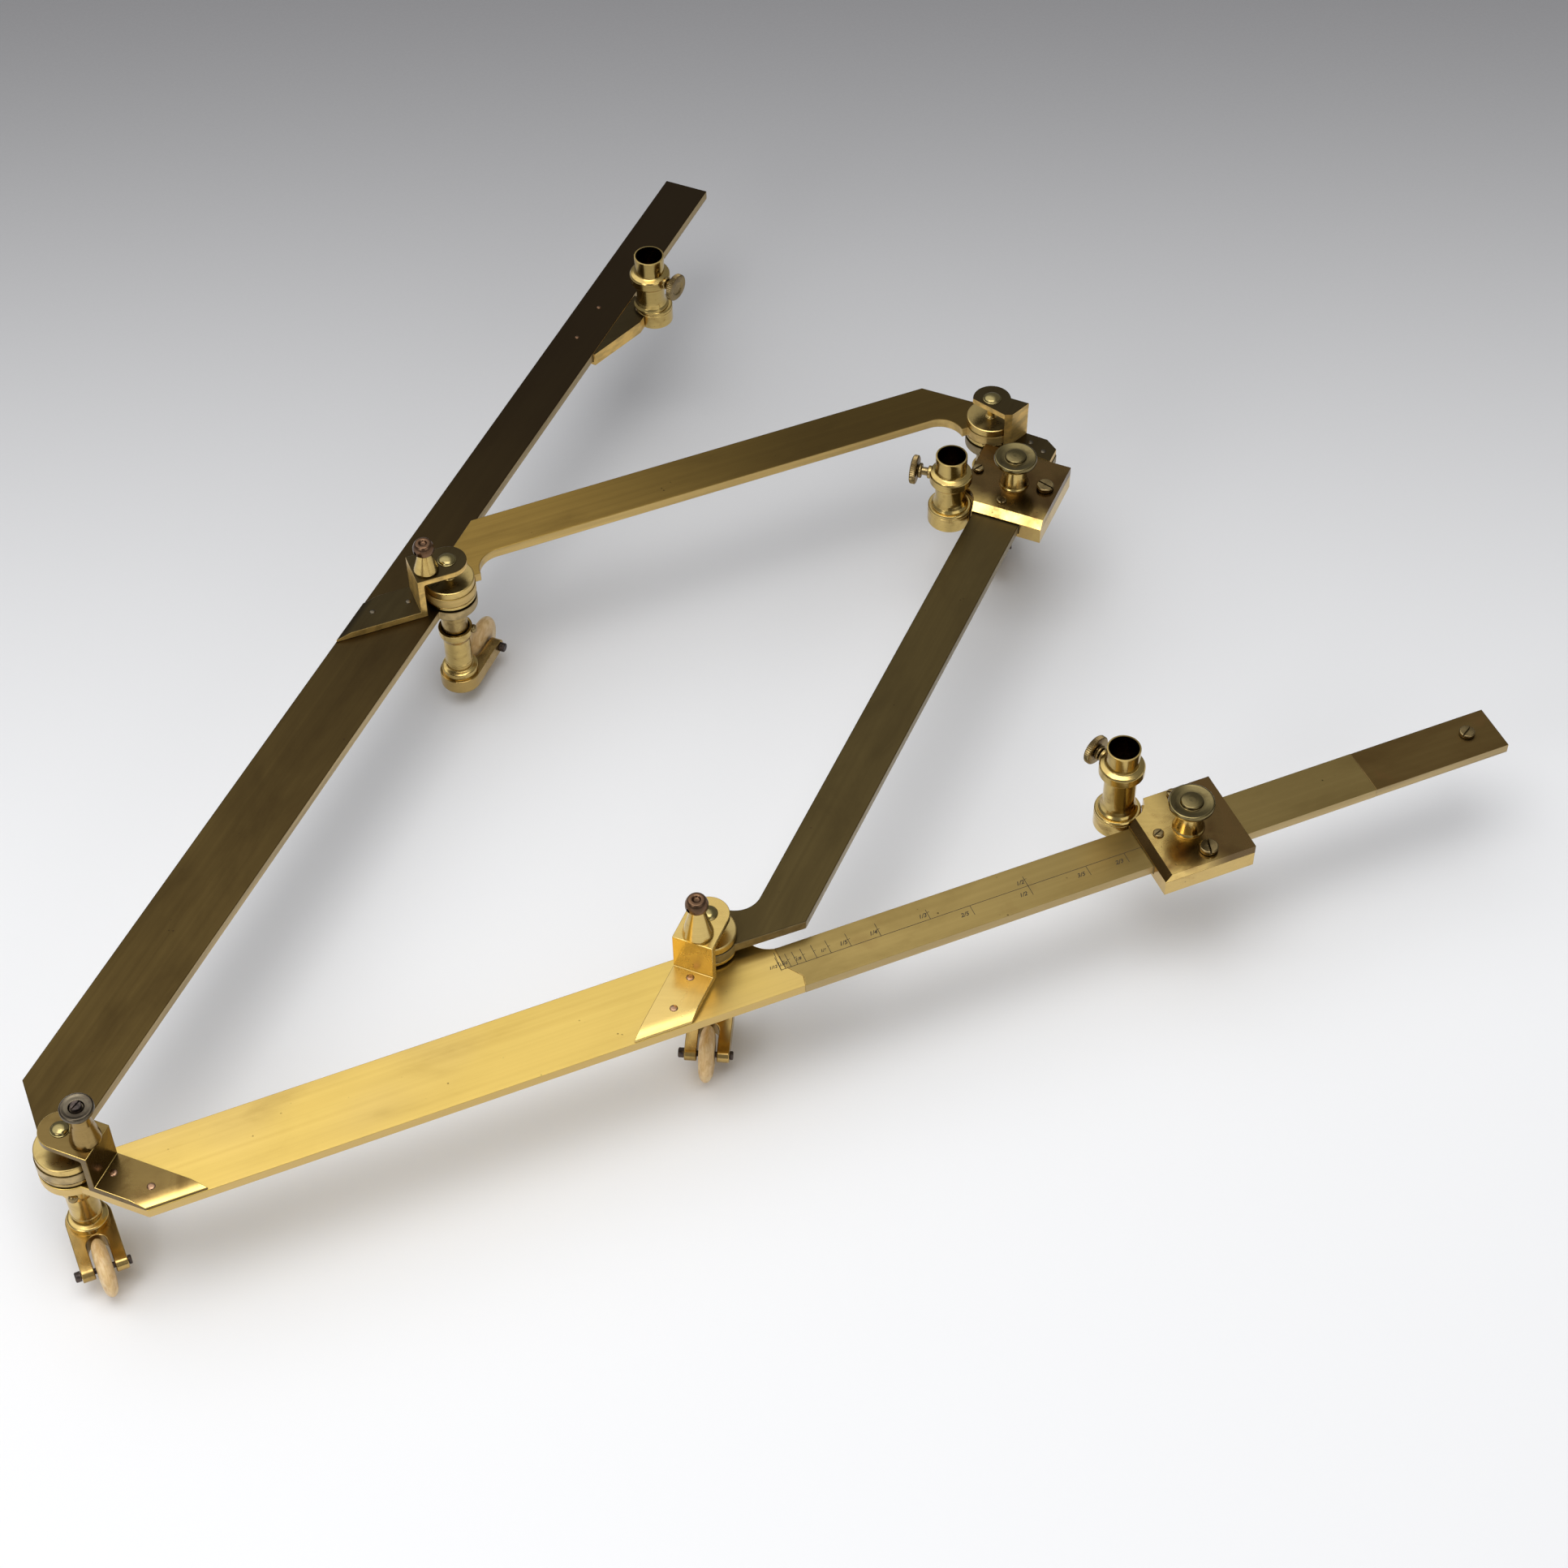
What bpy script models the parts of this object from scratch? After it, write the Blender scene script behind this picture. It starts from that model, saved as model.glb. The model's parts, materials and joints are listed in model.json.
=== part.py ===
"""Brass drafting pantograph: four hinged bars on castors, two sliding heads and a tracer head.

Units are metres and +Z is up.  The castor wheels stand on z = 0 and the long bar B lies along +X.
Lengths below are written in millimetres and turned into metres by mm().
Each bar has its own frame: "along" runs from its first pivot to its far end, "off" is to its left.
"""

import math

import bmesh
import bpy
from mathutils import Matrix, Vector

MM = 0.001
GAP = 0.3                 # clearance left between neighbouring pieces

# ---------------------------------------------------------------- linkage
APEX = (-260.4, -177.68)  # axis of joint O, chosen so that the footprint is centred on the origin
LINK_OP = 275.8           # O to P, and Q to R
LINK_OQ = 227.2           # O to Q, and P to R
OPEN_ANGLE = 43.98        # angle between bars A and B, degrees
TOP_B = 47.5              # top face of bar B above the table
PITCH = 6.8               # step from one bar level to the next
BAR_T = 4.0
OUTER = 28.7              # outer edge of every bar, measured from its pivot line
WIDE = 0.1                # inner edge where bars A and B are wide
NARROW = 9.65             # inner edge of the narrow bars; also the radius of the neck hollows
LENGTH_A = 536.3
LENGTH_B = 531.8
EAR_O = 11.0              # radius of the joint discs at O
EAR = 9.9                 # radius of the joint discs at P, Q and R
NECK_X = 22.2             # pivot to the end of the neck hollow
CUT = 10.3                # the 45 degree end cuts follow |off| = along + CUT
SEAT = 5.6                # depth of an upper bar's joint disc below its top face
EAR_HOLE = 2.1
BOSS_HOLE = 4.3

# ---------------------------------------------------------------- bridges over the joints
BRIDGE_T = 2.4
BRIDGE_TOP = 18.7
BRIDGE_HALF = 7.5
BRIDGE_REACH = 14.0
RISER_T = 2.5
FOOT_T = 2.6
FOOT_REACH = 50.0         # the strips are cut off along the bar's outer edge before this
POST_HOLE = 1.7
POST_O = (6.9, -6.5)
POST_Q = (-6.3, -6.4)
POST_P = (-7.5, 4.8)

# ---------------------------------------------------------------- castors (heights above the table)
WHEEL_R = 10.2
WHEEL_HALF = 2.8
TRAIL = 18.9
FORK_HALF = 8.0
SLOT_HALF = 3.6
SLOT_START = 7.3
FORK_TOP = 13.5
FORK_LOW = 7.5
NOSE_R = 2.7
AXLE_R = 1.05
AXLE_HOLE = 1.35
SET_SCREW_Z = 36.0
TRAIL_HEADINGS = {"o": -90.0, "q": -117.7, "p": 45.4, "r": -111.7}
SET_SCREW_TURNS = {"o": -22.4, "q": -50.0, "p": -67.8, "r": 30.0}

# ---------------------------------------------------------------- heads that hold the points
SOCKET_A = 458.3          # tracer socket on bar A, from O
SOCKET_B = 385.8          # sliding socket on bar B, from O
SOCKET_D = 230.9          # sliding socket on bar D, from Q
BORE_R = 5.5
RIM_Z = 81.0
COLLAR_Z = (67.8, 73.0)
THUMB_Z = 70.4
THUMB_TRACER = (-57.6, 13.1)      # heading in degrees, head centre from the socket axis
THUMB_SLIDER_B = (112.4, 12.3)
THUMB_SLIDER_D = (142.0, 14.4)
PLATE_LOW = 0.6
PLATE_TOP = 4.2
PLATE_ENDS = {"b": 35.6, "d": 34.4}
PLATE_IN = -1.9
PLATE_OUT = -37.7
CHEEK_LOW = -6.1
CHEEK_IN_END = 22.4
CLAMP_AT = (17.9, -20.0)
SCREW_INDEX = (6.4, -19.0)
SCREW_OUTER = (19.5, -32.3)
SCREW_INNER = (19.4, -4.6)
STOP_AT = (520.3, -18.1)

STEPS_LARGE = 18
STEPS_SMALL = 10

COLOURS = {
    "bar_gold": ((0.60, 0.42, 0.13, 1.0), 0.34),
    "bar_dark": ((0.13, 0.10, 0.035, 1.0), 0.42),
    "bar_olive": ((0.30, 0.22, 0.07, 1.0), 0.40),
    "bridge_brass": ((0.50, 0.35, 0.11, 1.0), 0.36),
    "turned_brass": ((0.55, 0.40, 0.15, 1.0), 0.30),
    "reddish_brass": ((0.30, 0.15, 0.08, 1.0), 0.45),
    "slider_brass": ((0.28, 0.18, 0.055, 1.0), 0.38),
    "screw_brass": ((0.40, 0.27, 0.10, 1.0), 0.38),
    "dark_steel": ((0.09, 0.08, 0.085, 1.0), 0.45),
    "ivory": ((0.80, 0.66, 0.42, 1.0), 0.35),
}


def mm(value):
    return value * MM


def polar(radius, degrees, centre=(0.0, 0.0)):
    angle = math.radians(degrees)
    return (centre[0] + radius * math.cos(angle), centre[1] + radius * math.sin(angle))


def arc(centre, radius, start, end, steps):
    """Points on an arc from start to end, in degrees, both ends included."""
    points = []
    for index in range(steps + 1):
        points.append(polar(radius, start + (end - start) * index / steps, centre))
    return points


# ---------------------------------------------------------------- joints in the shared frame
JOINT_O = Vector((APEX[0], APEX[1]))
JOINT_Q = JOINT_O + Vector((LINK_OQ, 0.0))
JOINT_P = JOINT_O + Vector(polar(LINK_OP, OPEN_ANGLE))
JOINT_R = JOINT_P + Vector((LINK_OQ, 0.0))
TOP_A = TOP_B + PITCH
TOP_C = TOP_B + 2.0 * PITCH

FRAME_A = (JOINT_O.x, JOINT_O.y, OPEN_ANGLE)
FRAME_B = (JOINT_O.x, JOINT_O.y, 0.0)
FRAME_C = (JOINT_P.x, JOINT_P.y, 0.0)
FRAME_D = (JOINT_Q.x, JOINT_Q.y, OPEN_ANGLE)


def in_frame(frame, along, off):
    """Shared coordinates of a point given in a bar's frame."""
    angle = math.radians(frame[2])
    x = frame[0] + along * math.cos(angle) - off * math.sin(angle)
    y = frame[1] + along * math.sin(angle) + off * math.cos(angle)
    return (x, y)


# ---------------------------------------------------------------- scene and mesh helpers
def clear_scene():
    for item in list(bpy.data.objects):
        bpy.data.objects.remove(item, do_unlink=True)


def make_materials():
    made = {}
    for name, (colour, roughness) in COLOURS.items():
        material = bpy.data.materials.new(name)
        material.use_nodes = True
        shader = material.node_tree.nodes["Principled BSDF"]
        shader.inputs["Base Color"].default_value = colour
        shader.inputs["Roughness"].default_value = roughness
        shader.inputs["Metallic"].default_value = 0.0 if name == "ivory" else 1.0
        made[name] = material
    return made


def to_mesh(bm, name):
    bmesh.ops.remove_doubles(bm, verts=bm.verts, dist=1e-6)
    bmesh.ops.recalc_face_normals(bm, faces=bm.faces)
    mesh = bpy.data.meshes.new(name)
    bm.to_mesh(mesh)
    bm.free()
    return mesh


def push_face(bm, points, push):
    """Fill a loop of points (millimetres) and extrude it by a vector (millimetres)."""
    base = [bm.verts.new([mm(v) for v in point]) for point in points]
    face = bm.faces.new(base)
    grown = bmesh.ops.extrude_face_region(bm, geom=[face])
    top = [item for item in grown["geom"] if isinstance(item, bmesh.types.BMVert)]
    bmesh.ops.translate(bm, verts=top, vec=Vector([mm(v) for v in push]))


def prism(outline, low, high):
    """Plate with a plan outline, from height low to height high."""
    bm = bmesh.new()
    push_face(bm, [(x, y, low) for x, y in outline], (0.0, 0.0, high - low))
    return to_mesh(bm, "prism")


def along_x(section, start, end):
    """Section given as (y, z), extruded along X."""
    bm = bmesh.new()
    push_face(bm, [(start, y, z) for y, z in section], (end - start, 0.0, 0.0))
    return to_mesh(bm, "section")


def along_y(section, start, end):
    """Section given as (x, z), extruded along Y."""
    bm = bmesh.new()
    push_face(bm, [(x, start, z) for x, z in section], (0.0, end - start, 0.0))
    return to_mesh(bm, "section")


def turned(profile, steps=STEPS_LARGE):
    """Solid of revolution about Z; the profile is a closed loop of (radius, height)."""
    bm = bmesh.new()
    points = [bm.verts.new((mm(radius), 0.0, mm(height))) for radius, height in profile]
    edges = []
    for index, point in enumerate(points):
        following = points[(index + 1) % len(points)]
        if point.co.x > 1e-9 or following.co.x > 1e-9:
            edges.append(bm.edges.new((point, following)))
    bmesh.ops.spin(bm, geom=points + edges, cent=(0, 0, 0), axis=(0, 0, 1),
                   angle=2.0 * math.pi, steps=steps, use_merge=True)
    return to_mesh(bm, "turned")


def rod(radius, low, high, steps=STEPS_SMALL):
    return turned([(0.0, low), (radius, low), (radius, high), (0.0, high)], steps)


def moved(mesh, x=0.0, y=0.0, z=0.0, turn_x=0.0, turn_y=0.0, turn_z=0.0):
    """Turn a mesh about X, Y and Z in that order (degrees), then move it (millimetres)."""
    matrix = Matrix.Translation((mm(x), mm(y), mm(z)))
    matrix = matrix @ Matrix.Rotation(math.radians(turn_z), 4, "Z")
    matrix = matrix @ Matrix.Rotation(math.radians(turn_y), 4, "Y")
    matrix = matrix @ Matrix.Rotation(math.radians(turn_x), 4, "X")
    mesh.transform(matrix)
    return mesh


def combine(mesh, tool, operation):
    """Exact boolean of two closed meshes; both inputs are used up."""
    target = bpy.data.objects.new("target", mesh)
    cutter = bpy.data.objects.new("cutter", tool)
    for item in (target, cutter):
        bpy.context.collection.objects.link(item)
    cutter.hide_render = True
    cutter.display_type = "WIRE"
    step = target.modifiers.new("step", "BOOLEAN")
    step.operation = operation
    step.solver = "EXACT"
    step.object = cutter
    graph = bpy.context.evaluated_depsgraph_get()
    result = bpy.data.meshes.new_from_object(target.evaluated_get(graph))
    for item in (target, cutter):
        bpy.data.objects.remove(item, do_unlink=True)
    return result


def joined(mesh, tool):
    return combine(mesh, tool, "UNION")


def cut(mesh, tool):
    return combine(mesh, tool, "DIFFERENCE")


def kept(mesh, tool):
    return combine(mesh, tool, "INTERSECT")


def shade(mesh, smooth_angle):
    """Smooth shading with hard edges wherever two faces meet at more than smooth_angle."""
    bm = bmesh.new()
    bm.from_mesh(mesh)
    bmesh.ops.remove_doubles(bm, verts=bm.verts, dist=2e-6)
    bmesh.ops.dissolve_degenerate(bm, edges=bm.edges, dist=1e-6)
    bmesh.ops.recalc_face_normals(bm, faces=bm.faces)
    for face in bm.faces:
        face.smooth = True
    for edge in bm.edges:
        sharp = len(edge.link_faces) == 2 and edge.calc_face_angle() > math.radians(smooth_angle)
        edge.smooth = not sharp
    bm.to_mesh(mesh)
    bm.free()


def place(name, mesh, slot, frame, pivot):
    """Add a sub-part whose mesh is written in a frame; pivot is the object origin (x, y, z)."""
    moved(mesh, frame[0], frame[1], 0.0, turn_z=frame[2])
    mesh.transform(Matrix.Translation([-mm(v) for v in pivot]))
    shade(mesh, 32.0)
    mesh.name = name
    item = bpy.data.objects.new(name, mesh)
    item.location = [mm(v) for v in pivot]
    item.data.materials.clear()
    item.data.materials.append(MATERIALS[slot])
    bpy.context.collection.objects.link(item)
    return item


# ---------------------------------------------------------------- bars
def mirrored(outline):
    return [(x, -y) for x, y in outline]


def ear_start(radius):
    """Where the 45 degree end cut meets a joint disc: angle in degrees on the disc."""
    half = (-2.0 * CUT + math.sqrt(8.0 * radius * radius - 4.0 * CUT * CUT)) / 4.0
    return math.degrees(math.atan2(half + CUT, half))


def near_end(radius):
    """Outer corner, 45 degree cut and joint disc at a bar's first pivot; body on the left."""
    start = ear_start(radius)
    return [(OUTER - CUT, OUTER)] + arc((0.0, 0.0), radius, start, 360.0, 16)


def neck_out(pivot_x):
    """Joint disc flat and hollow that run out into a narrow bar beyond a pivot."""
    hollow = arc((pivot_x + NECK_X, 0.0), NARROW, 180.0, 90.0, 6)
    return hollow


def neck_in(pivot_x):
    """Hollow that leads from a narrow bar back to a pivot ahead."""
    return arc((pivot_x - NECK_X, 0.0), NARROW, 90.0, 0.0, 6)


def long_outline(length, middle):
    """Bars A and B: wide up to the middle pivot, narrow beyond it."""
    outline = near_end(EAR_O)
    outline += [(EAR_O + 0.4, WIDE), (middle - EAR - 0.4, WIDE)]
    outline += arc((middle, 0.0), EAR, 180.0, 360.0, 14)
    outline += neck_out(middle)
    outline += [(length, NARROW), (length, OUTER)]
    return outline


def outline_c():
    """Bar C: a joint disc at each end and both ends cut back at 45 degrees."""
    outline = near_end(EAR) + neck_out(0.0) + neck_in(LINK_OQ)
    outline += arc((LINK_OQ, 0.0), EAR, 180.0, 440.0, 20)
    outline += [(LINK_OQ - 17.0, OUTER)]
    return outline


def outline_d():
    """Bar D: as bar C, but the far end is cut square just past the pivot."""
    outline = near_end(EAR) + neck_out(0.0) + neck_in(LINK_OP)
    outline += arc((LINK_OP, 0.0), EAR, 180.0, 435.0, 20)
    outline += [(LINK_OP + 2.5, 23.3), (LINK_OP - 1.4, OUTER)]
    return outline


def upper_joint(mesh, along, radius, top):
    """Thicken an upper bar into a joint disc and bore it for the pivot boss."""
    disc = moved(rod(radius - 0.15, top - SEAT, top - 2.0, STEPS_LARGE), x=along)
    mesh = joined(mesh, disc)
    return cut(mesh, moved(rod(BOSS_HOLE, top - 12.0, top + 5.0), x=along))


def lower_joint(mesh, along, top):
    """Bore a lower bar for the tip of the pivot pin."""
    return cut(mesh, moved(rod(EAR_HOLE, top - 10.0, top + 5.0), x=along))


def build_bars():
    low = TOP_B - BAR_T
    bar_b = prism(mirrored(long_outline(LENGTH_B, LINK_OQ)), low, TOP_B)
    bar_b = lower_joint(bar_b, 0.0, TOP_B)
    bar_b = lower_joint(bar_b, LINK_OQ, TOP_B)
    stop_hole = moved(rod(1.5, low - 5.0, TOP_B + 5.0), STOP_AT[0], STOP_AT[1])
    bar_b = cut(bar_b, stop_hole)
    place("long_arm_b", bar_b, "bar_gold", FRAME_B, (JOINT_O.x, JOINT_O.y, TOP_B))

    bar_a = prism(long_outline(LENGTH_A, LINK_OP), TOP_A - BAR_T, TOP_A)
    bar_a = upper_joint(bar_a, 0.0, EAR_O, TOP_A)
    bar_a = lower_joint(bar_a, LINK_OP, TOP_A)
    place("long_arm_a", bar_a, "bar_dark", FRAME_A, (JOINT_O.x, JOINT_O.y, TOP_A))

    bar_c = prism(outline_c(), TOP_C - BAR_T, TOP_C)
    bar_c = upper_joint(bar_c, 0.0, EAR, TOP_C)
    bar_c = upper_joint(bar_c, LINK_OQ, EAR, TOP_C)
    place("short_arm_c", bar_c, "bar_olive", FRAME_C, (JOINT_P.x, JOINT_P.y, TOP_C))

    bar_d = prism(mirrored(outline_d()), TOP_A - BAR_T, TOP_A)
    bar_d = upper_joint(bar_d, 0.0, EAR, TOP_A)
    bar_d = lower_joint(bar_d, LINK_OP, TOP_A)
    place("short_arm_d", bar_d, "bar_dark", FRAME_D, (JOINT_Q.x, JOINT_Q.y, TOP_A))


# ---------------------------------------------------------------- joints
def build_pivot(letter, joint, upper_top, ring_r):
    """Turned boss in the upper bar: ring, shank, tip in the lower bar and pin up to the bridge."""
    lower_top = upper_top - PITCH
    pin_top = lower_top + BRIDGE_TOP - BRIDGE_T + 1.3
    profile = [
        (0.0, lower_top - 2.2), (1.6, lower_top - 2.2), (1.6, lower_top + GAP),
        (4.0, lower_top + GAP), (4.0, upper_top + GAP), (ring_r, upper_top + GAP),
        (ring_r, upper_top + 2.7), (ring_r - 0.4, upper_top + 3.1), (1.6, upper_top + 3.1),
        (1.6, pin_top), (0.0, pin_top)]
    frame = (joint.x, joint.y, 0.0)
    place("pivot_boss_" + letter, turned(profile), "turned_brass", frame,
          (joint.x, joint.y, upper_top))


def build_dome(letter, joint, lower_top):
    """Domed screw that closes the pivot hole in a bridge."""
    top = lower_top + BRIDGE_TOP
    profile = [(0.0, top - 0.8), (1.6, top - 0.8), (1.6, top + GAP), (3.5, top + GAP),
               (3.3, top + 0.8), (2.5, top + 1.3), (1.4, top + 1.6), (0.0, top + 1.7)]
    frame = (joint.x, joint.y, 0.0)
    place("pivot_screw_" + letter, turned(profile, STEPS_SMALL), "screw_brass", frame,
          (joint.x, joint.y, top))


def bridge_body(lower_top):
    """Stepped strip over a joint, written with its foot running out along +X."""
    top = lower_top + BRIDGE_TOP
    inner = BRIDGE_REACH - RISER_T
    section = [(-9.0, top - BRIDGE_T), (inner, top - BRIDGE_T), (inner, lower_top + GAP),
               (FOOT_REACH, lower_top + GAP), (FOOT_REACH, lower_top + GAP + FOOT_T),
               (BRIDGE_REACH, lower_top + GAP + FOOT_T), (BRIDGE_REACH, top), (-9.0, top)]
    body = along_y(section, -12.0, 12.0)
    outline = [(FOOT_REACH, -BRIDGE_HALF), (FOOT_REACH, BRIDGE_HALF)]
    outline += arc((0.0, 0.0), BRIDGE_HALF, 90.0, 270.0, 14)
    return kept(body, prism(outline, lower_top - 5.0, top + 5.0))


def bridge_holes(body, lower_top, post):
    top = lower_top + BRIDGE_TOP
    body = cut(body, rod(EAR_HOLE, top - 6.0, top + 5.0))
    if post:
        body = cut(body, moved(rod(POST_HOLE, top - 6.0, top + 5.0, 12), post[0], post[1]))
    return body


def build_bridge(letter, frame, along, lower_top, turn, side, post):
    """Bridge on a bar: turn is its heading in the bar's frame, side the side the body is on."""
    body = moved(bridge_body(lower_top), turn_z=turn)
    low = lower_top + GAP
    far = OUTER - 0.3
    trim = [(-20.0 * side, low - 1.0), (far * side, low - 1.0), (far * side, low + 0.8),
            (24.2 * side, low + FOOT_T), (24.2 * side, low + 30.0), (-20.0 * side, low + 30.0)]
    body = kept(body, along_x(trim, -60.0, 60.0))
    body = bridge_holes(body, lower_top, post)
    pivot = in_frame(frame, along, 0.0)
    place("bridge_" + letter, body, "bridge_brass", (pivot[0], pivot[1], frame[2]),
          (pivot[0], pivot[1], lower_top + BRIDGE_TOP))


def build_bridge_r():
    """The bridge at R stands on the square end of bar D and is cut to clear the slider."""
    low = TOP_A + GAP
    top = TOP_A + BRIDGE_TOP
    plate = arc((0.0, 0.0), BRIDGE_HALF, -65.6, 113.0, 14)
    plate += [(-7.0, -8.0), (-5.7, -10.8), (3.0, -14.4)]
    riser = [(-6.95, -8.05), (-5.65, -10.7), (2.95, -14.3), (2.95, -12.5), (-5.0, -9.2), (-6.6, -8.0)]
    foot = [(-7.0, -8.1), (-6.65, -7.95), (-5.0, -9.15), (3.0, -12.45), (2.4, -23.2),
            (-1.5, -28.4), (-8.8, -28.4)]
    body = joined(prism(plate, top - BRIDGE_T, top), prism(riser, low + 1.0, top - 1.0))
    body = joined(body, prism(foot, low, low + FOOT_T))
    body = bridge_holes(body, TOP_A, None)
    place("bridge_r", body, "bridge_brass", (JOINT_R.x, JOINT_R.y, OPEN_ANGLE),
          (JOINT_R.x, JOINT_R.y, top))


def post_foot(top, radius, neck, height):
    """Spigot and straight cone of a guide post, up to its neck."""
    return [(0.0, top - 2.1), (1.4, top - 2.1), (1.4, top + GAP), (radius, top + GAP),
            (radius, top + 0.9), (neck, top + height)]


def build_post_o(position):
    """Post with a dished head and a slotted screw standing in it."""
    top = TOP_B + BRIDGE_TOP
    profile = post_foot(top, 5.3, 3.6, 9.0)
    profile += [(3.3, top + 13.6), (4.4, top + 15.2), (5.7, top + 16.0), (5.7, top + 17.3),
                (5.1, top + 17.9), (4.2, top + 17.2), (2.9, top + 17.0), (2.9, top + 16.0),
                (1.5, top + 16.0), (1.5, top + 13.0), (0.0, top + 13.0)]
    spot = in_frame(FRAME_B, position[0], position[1])
    pivot = (spot[0], spot[1], top)
    place("guide_post_o", turned(profile), "turned_brass", (spot[0], spot[1], 0.0), pivot)
    screw = turned([(0.0, top + 13.3), (1.2, top + 13.3), (1.2, top + 16.3), (2.3, top + 16.3),
                    (2.3, top + 18.6), (0.0, top + 18.6)], STEPS_SMALL)
    slot = prism([(-4.0, -0.35), (4.0, -0.35), (4.0, 0.35), (-4.0, 0.35)], top + 17.9, top + 21.0)
    screw = cut(screw, moved(slot, turn_z=35.0))
    place("guide_post_screw", screw, "dark_steel", (spot[0], spot[1], 0.0), pivot)


def build_post(letter, frame, along, position, lower_top, radius, height):
    """Guide post with a drilled knob head centred at the given height over the bridge."""
    top = lower_top + BRIDGE_TOP
    profile = post_foot(top, radius, 2.4, height - 2.9)
    profile += [(3.0, top + height - 2.6), (4.05, top + height - 1.3), (4.05, top + height + 0.6),
                (3.3, top + height + 2.2), (2.2, top + height + 2.9), (0.0, top + height + 2.9)]
    body = turned(profile)
    hole = moved(rod(0.8, -8.0, 8.0, 10), z=top + height - 0.3, turn_y=90.0)
    body = cut(body, moved(hole, turn_z=20.0))
    spot = in_frame(frame, along + position[0], position[1])
    place("guide_post_" + letter, body, "reddish_brass", (spot[0], spot[1], 0.0),
          (spot[0], spot[1], top))


def build_joints():
    build_pivot("o", JOINT_O, TOP_A, 10.6)
    build_pivot("p", JOINT_P, TOP_C, 9.6)
    build_pivot("q", JOINT_Q, TOP_A, 9.6)
    build_pivot("r", JOINT_R, TOP_C, 9.6)
    build_dome("o", JOINT_O, TOP_B)
    build_dome("p", JOINT_P, TOP_A)
    build_dome("q", JOINT_Q, TOP_B)
    build_dome("r", JOINT_R, TOP_A)
    build_bridge("o", FRAME_B, 0.0, TOP_B, -45.0, -1.0, POST_O)
    build_bridge("q", FRAME_B, LINK_OQ, TOP_B, -135.0, -1.0, POST_Q)
    build_bridge("p", FRAME_A, LINK_OP, TOP_A, 135.0, 1.0, POST_P)
    build_bridge_r()
    build_post_o(POST_O)
    build_post("q", FRAME_B, LINK_OQ, POST_Q, TOP_B, 5.4, 15.5)
    build_post("p", FRAME_A, LINK_OP, POST_P, TOP_A, 4.7, 11.4)


# ---------------------------------------------------------------- castors
def castor_stem(letter, joint, lower_top):
    """Pin riveted under a lower bar; the groove near its foot takes the set screw."""
    low = lower_top - BAR_T
    profile = [(0.0, 16.6), (2.6, 16.6), (3.2, 17.4), (3.2, 34.5), (5.1, 34.5), (5.1, 34.9),
               (4.2, 34.9), (4.2, 37.1), (5.1, 37.1), (5.1, low - GAP), (1.7, low - GAP),
               (1.7, low + 1.4), (0.0, low + 1.4)]
    place("castor_stem_" + letter, turned(profile), "turned_brass", (joint.x, joint.y, 0.0),
          (joint.x, joint.y, low))


def fork_body():
    """Horizontal fork, trailing along +X, with a round-ended slot for the wheel."""
    axle_z = WHEEL_R
    side = [(-12.0, FORK_LOW), (TRAIL, FORK_LOW)]
    side += arc((TRAIL, axle_z), NOSE_R, -80.0, 80.0, 8)
    side += [(TRAIL - 4.0, FORK_TOP), (-12.0, FORK_TOP)]
    body = along_y(side, -10.0, 10.0)
    plan = [(TRAIL + 4.0, -FORK_HALF), (TRAIL + 4.0, FORK_HALF)]
    plan += arc((0.0, 0.0), FORK_HALF, 90.0, 270.0, 12)
    body = kept(body, prism(plan, 0.0, 30.0))
    centre = SLOT_START + SLOT_HALF
    slot = [(TRAIL + 9.0, -SLOT_HALF), (TRAIL + 9.0, SLOT_HALF)]
    slot += arc((centre, 0.0), SLOT_HALF, 90.0, 270.0, 10)
    body = cut(body, prism(slot, 0.0, 30.0))
    bore = moved(rod(AXLE_HOLE, -15.0, 15.0, 12), TRAIL, 0.0, axle_z, turn_x=90.0)
    return cut(body, bore)


def castor_swivel(letter, frame, pivot):
    """Sleeve with a flared cup on top of the fork, bored for the stem."""
    outside = [(0.0, 6.7), (5.2, 6.7), (6.9, 7.2), (6.9, 13.0), (7.0, 13.9), (7.0, 16.2), (5.2, 16.8),
               (5.2, 31.8), (6.2, 33.9), (6.6, 37.4), (5.45, 37.4), (5.45, 34.2), (3.5, 34.2),
               (3.5, 16.2), (0.0, 16.2)]
    body = joined(turned(outside), fork_body())
    hole = moved(rod(1.0, 2.0, 12.0, 12), z=SET_SCREW_Z, turn_y=90.0)
    body = cut(body, moved(hole, turn_z=SET_SCREW_TURNS[letter]))
    place("castor_swivel_" + letter, body, "turned_brass", frame, pivot)


def castor_set_screw(letter, frame, pivot):
    """Domed screw through the cup; its tip runs in the stem's groove."""
    profile = [(0.0, 4.55), (0.7, 4.55), (0.7, 6.9), (1.7, 6.9), (1.6, 7.6), (0.9, 8.1), (0.0, 8.2)]
    screw = moved(turned(profile, 12), z=SET_SCREW_Z, turn_y=90.0)
    screw = moved(screw, turn_z=SET_SCREW_TURNS[letter])
    place("castor_set_screw_" + letter, screw, "screw_brass", frame, pivot)


def castor_axle(letter, frame, pivot):
    """Steel pin through the fork with a round head on each side."""
    near = FORK_HALF + GAP
    profile = [(0.0, -near - 1.1), (1.6, -near - 1.1), (1.6, -near), (AXLE_R, -near),
               (AXLE_R, near), (1.8, near), (1.8, near + 2.0), (0.0, near + 2.0)]
    axle = moved(turned(profile, 12), TRAIL, 0.0, WHEEL_R, turn_x=90.0)
    place("castor_axle_" + letter, axle, "dark_steel", frame, pivot)


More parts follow.
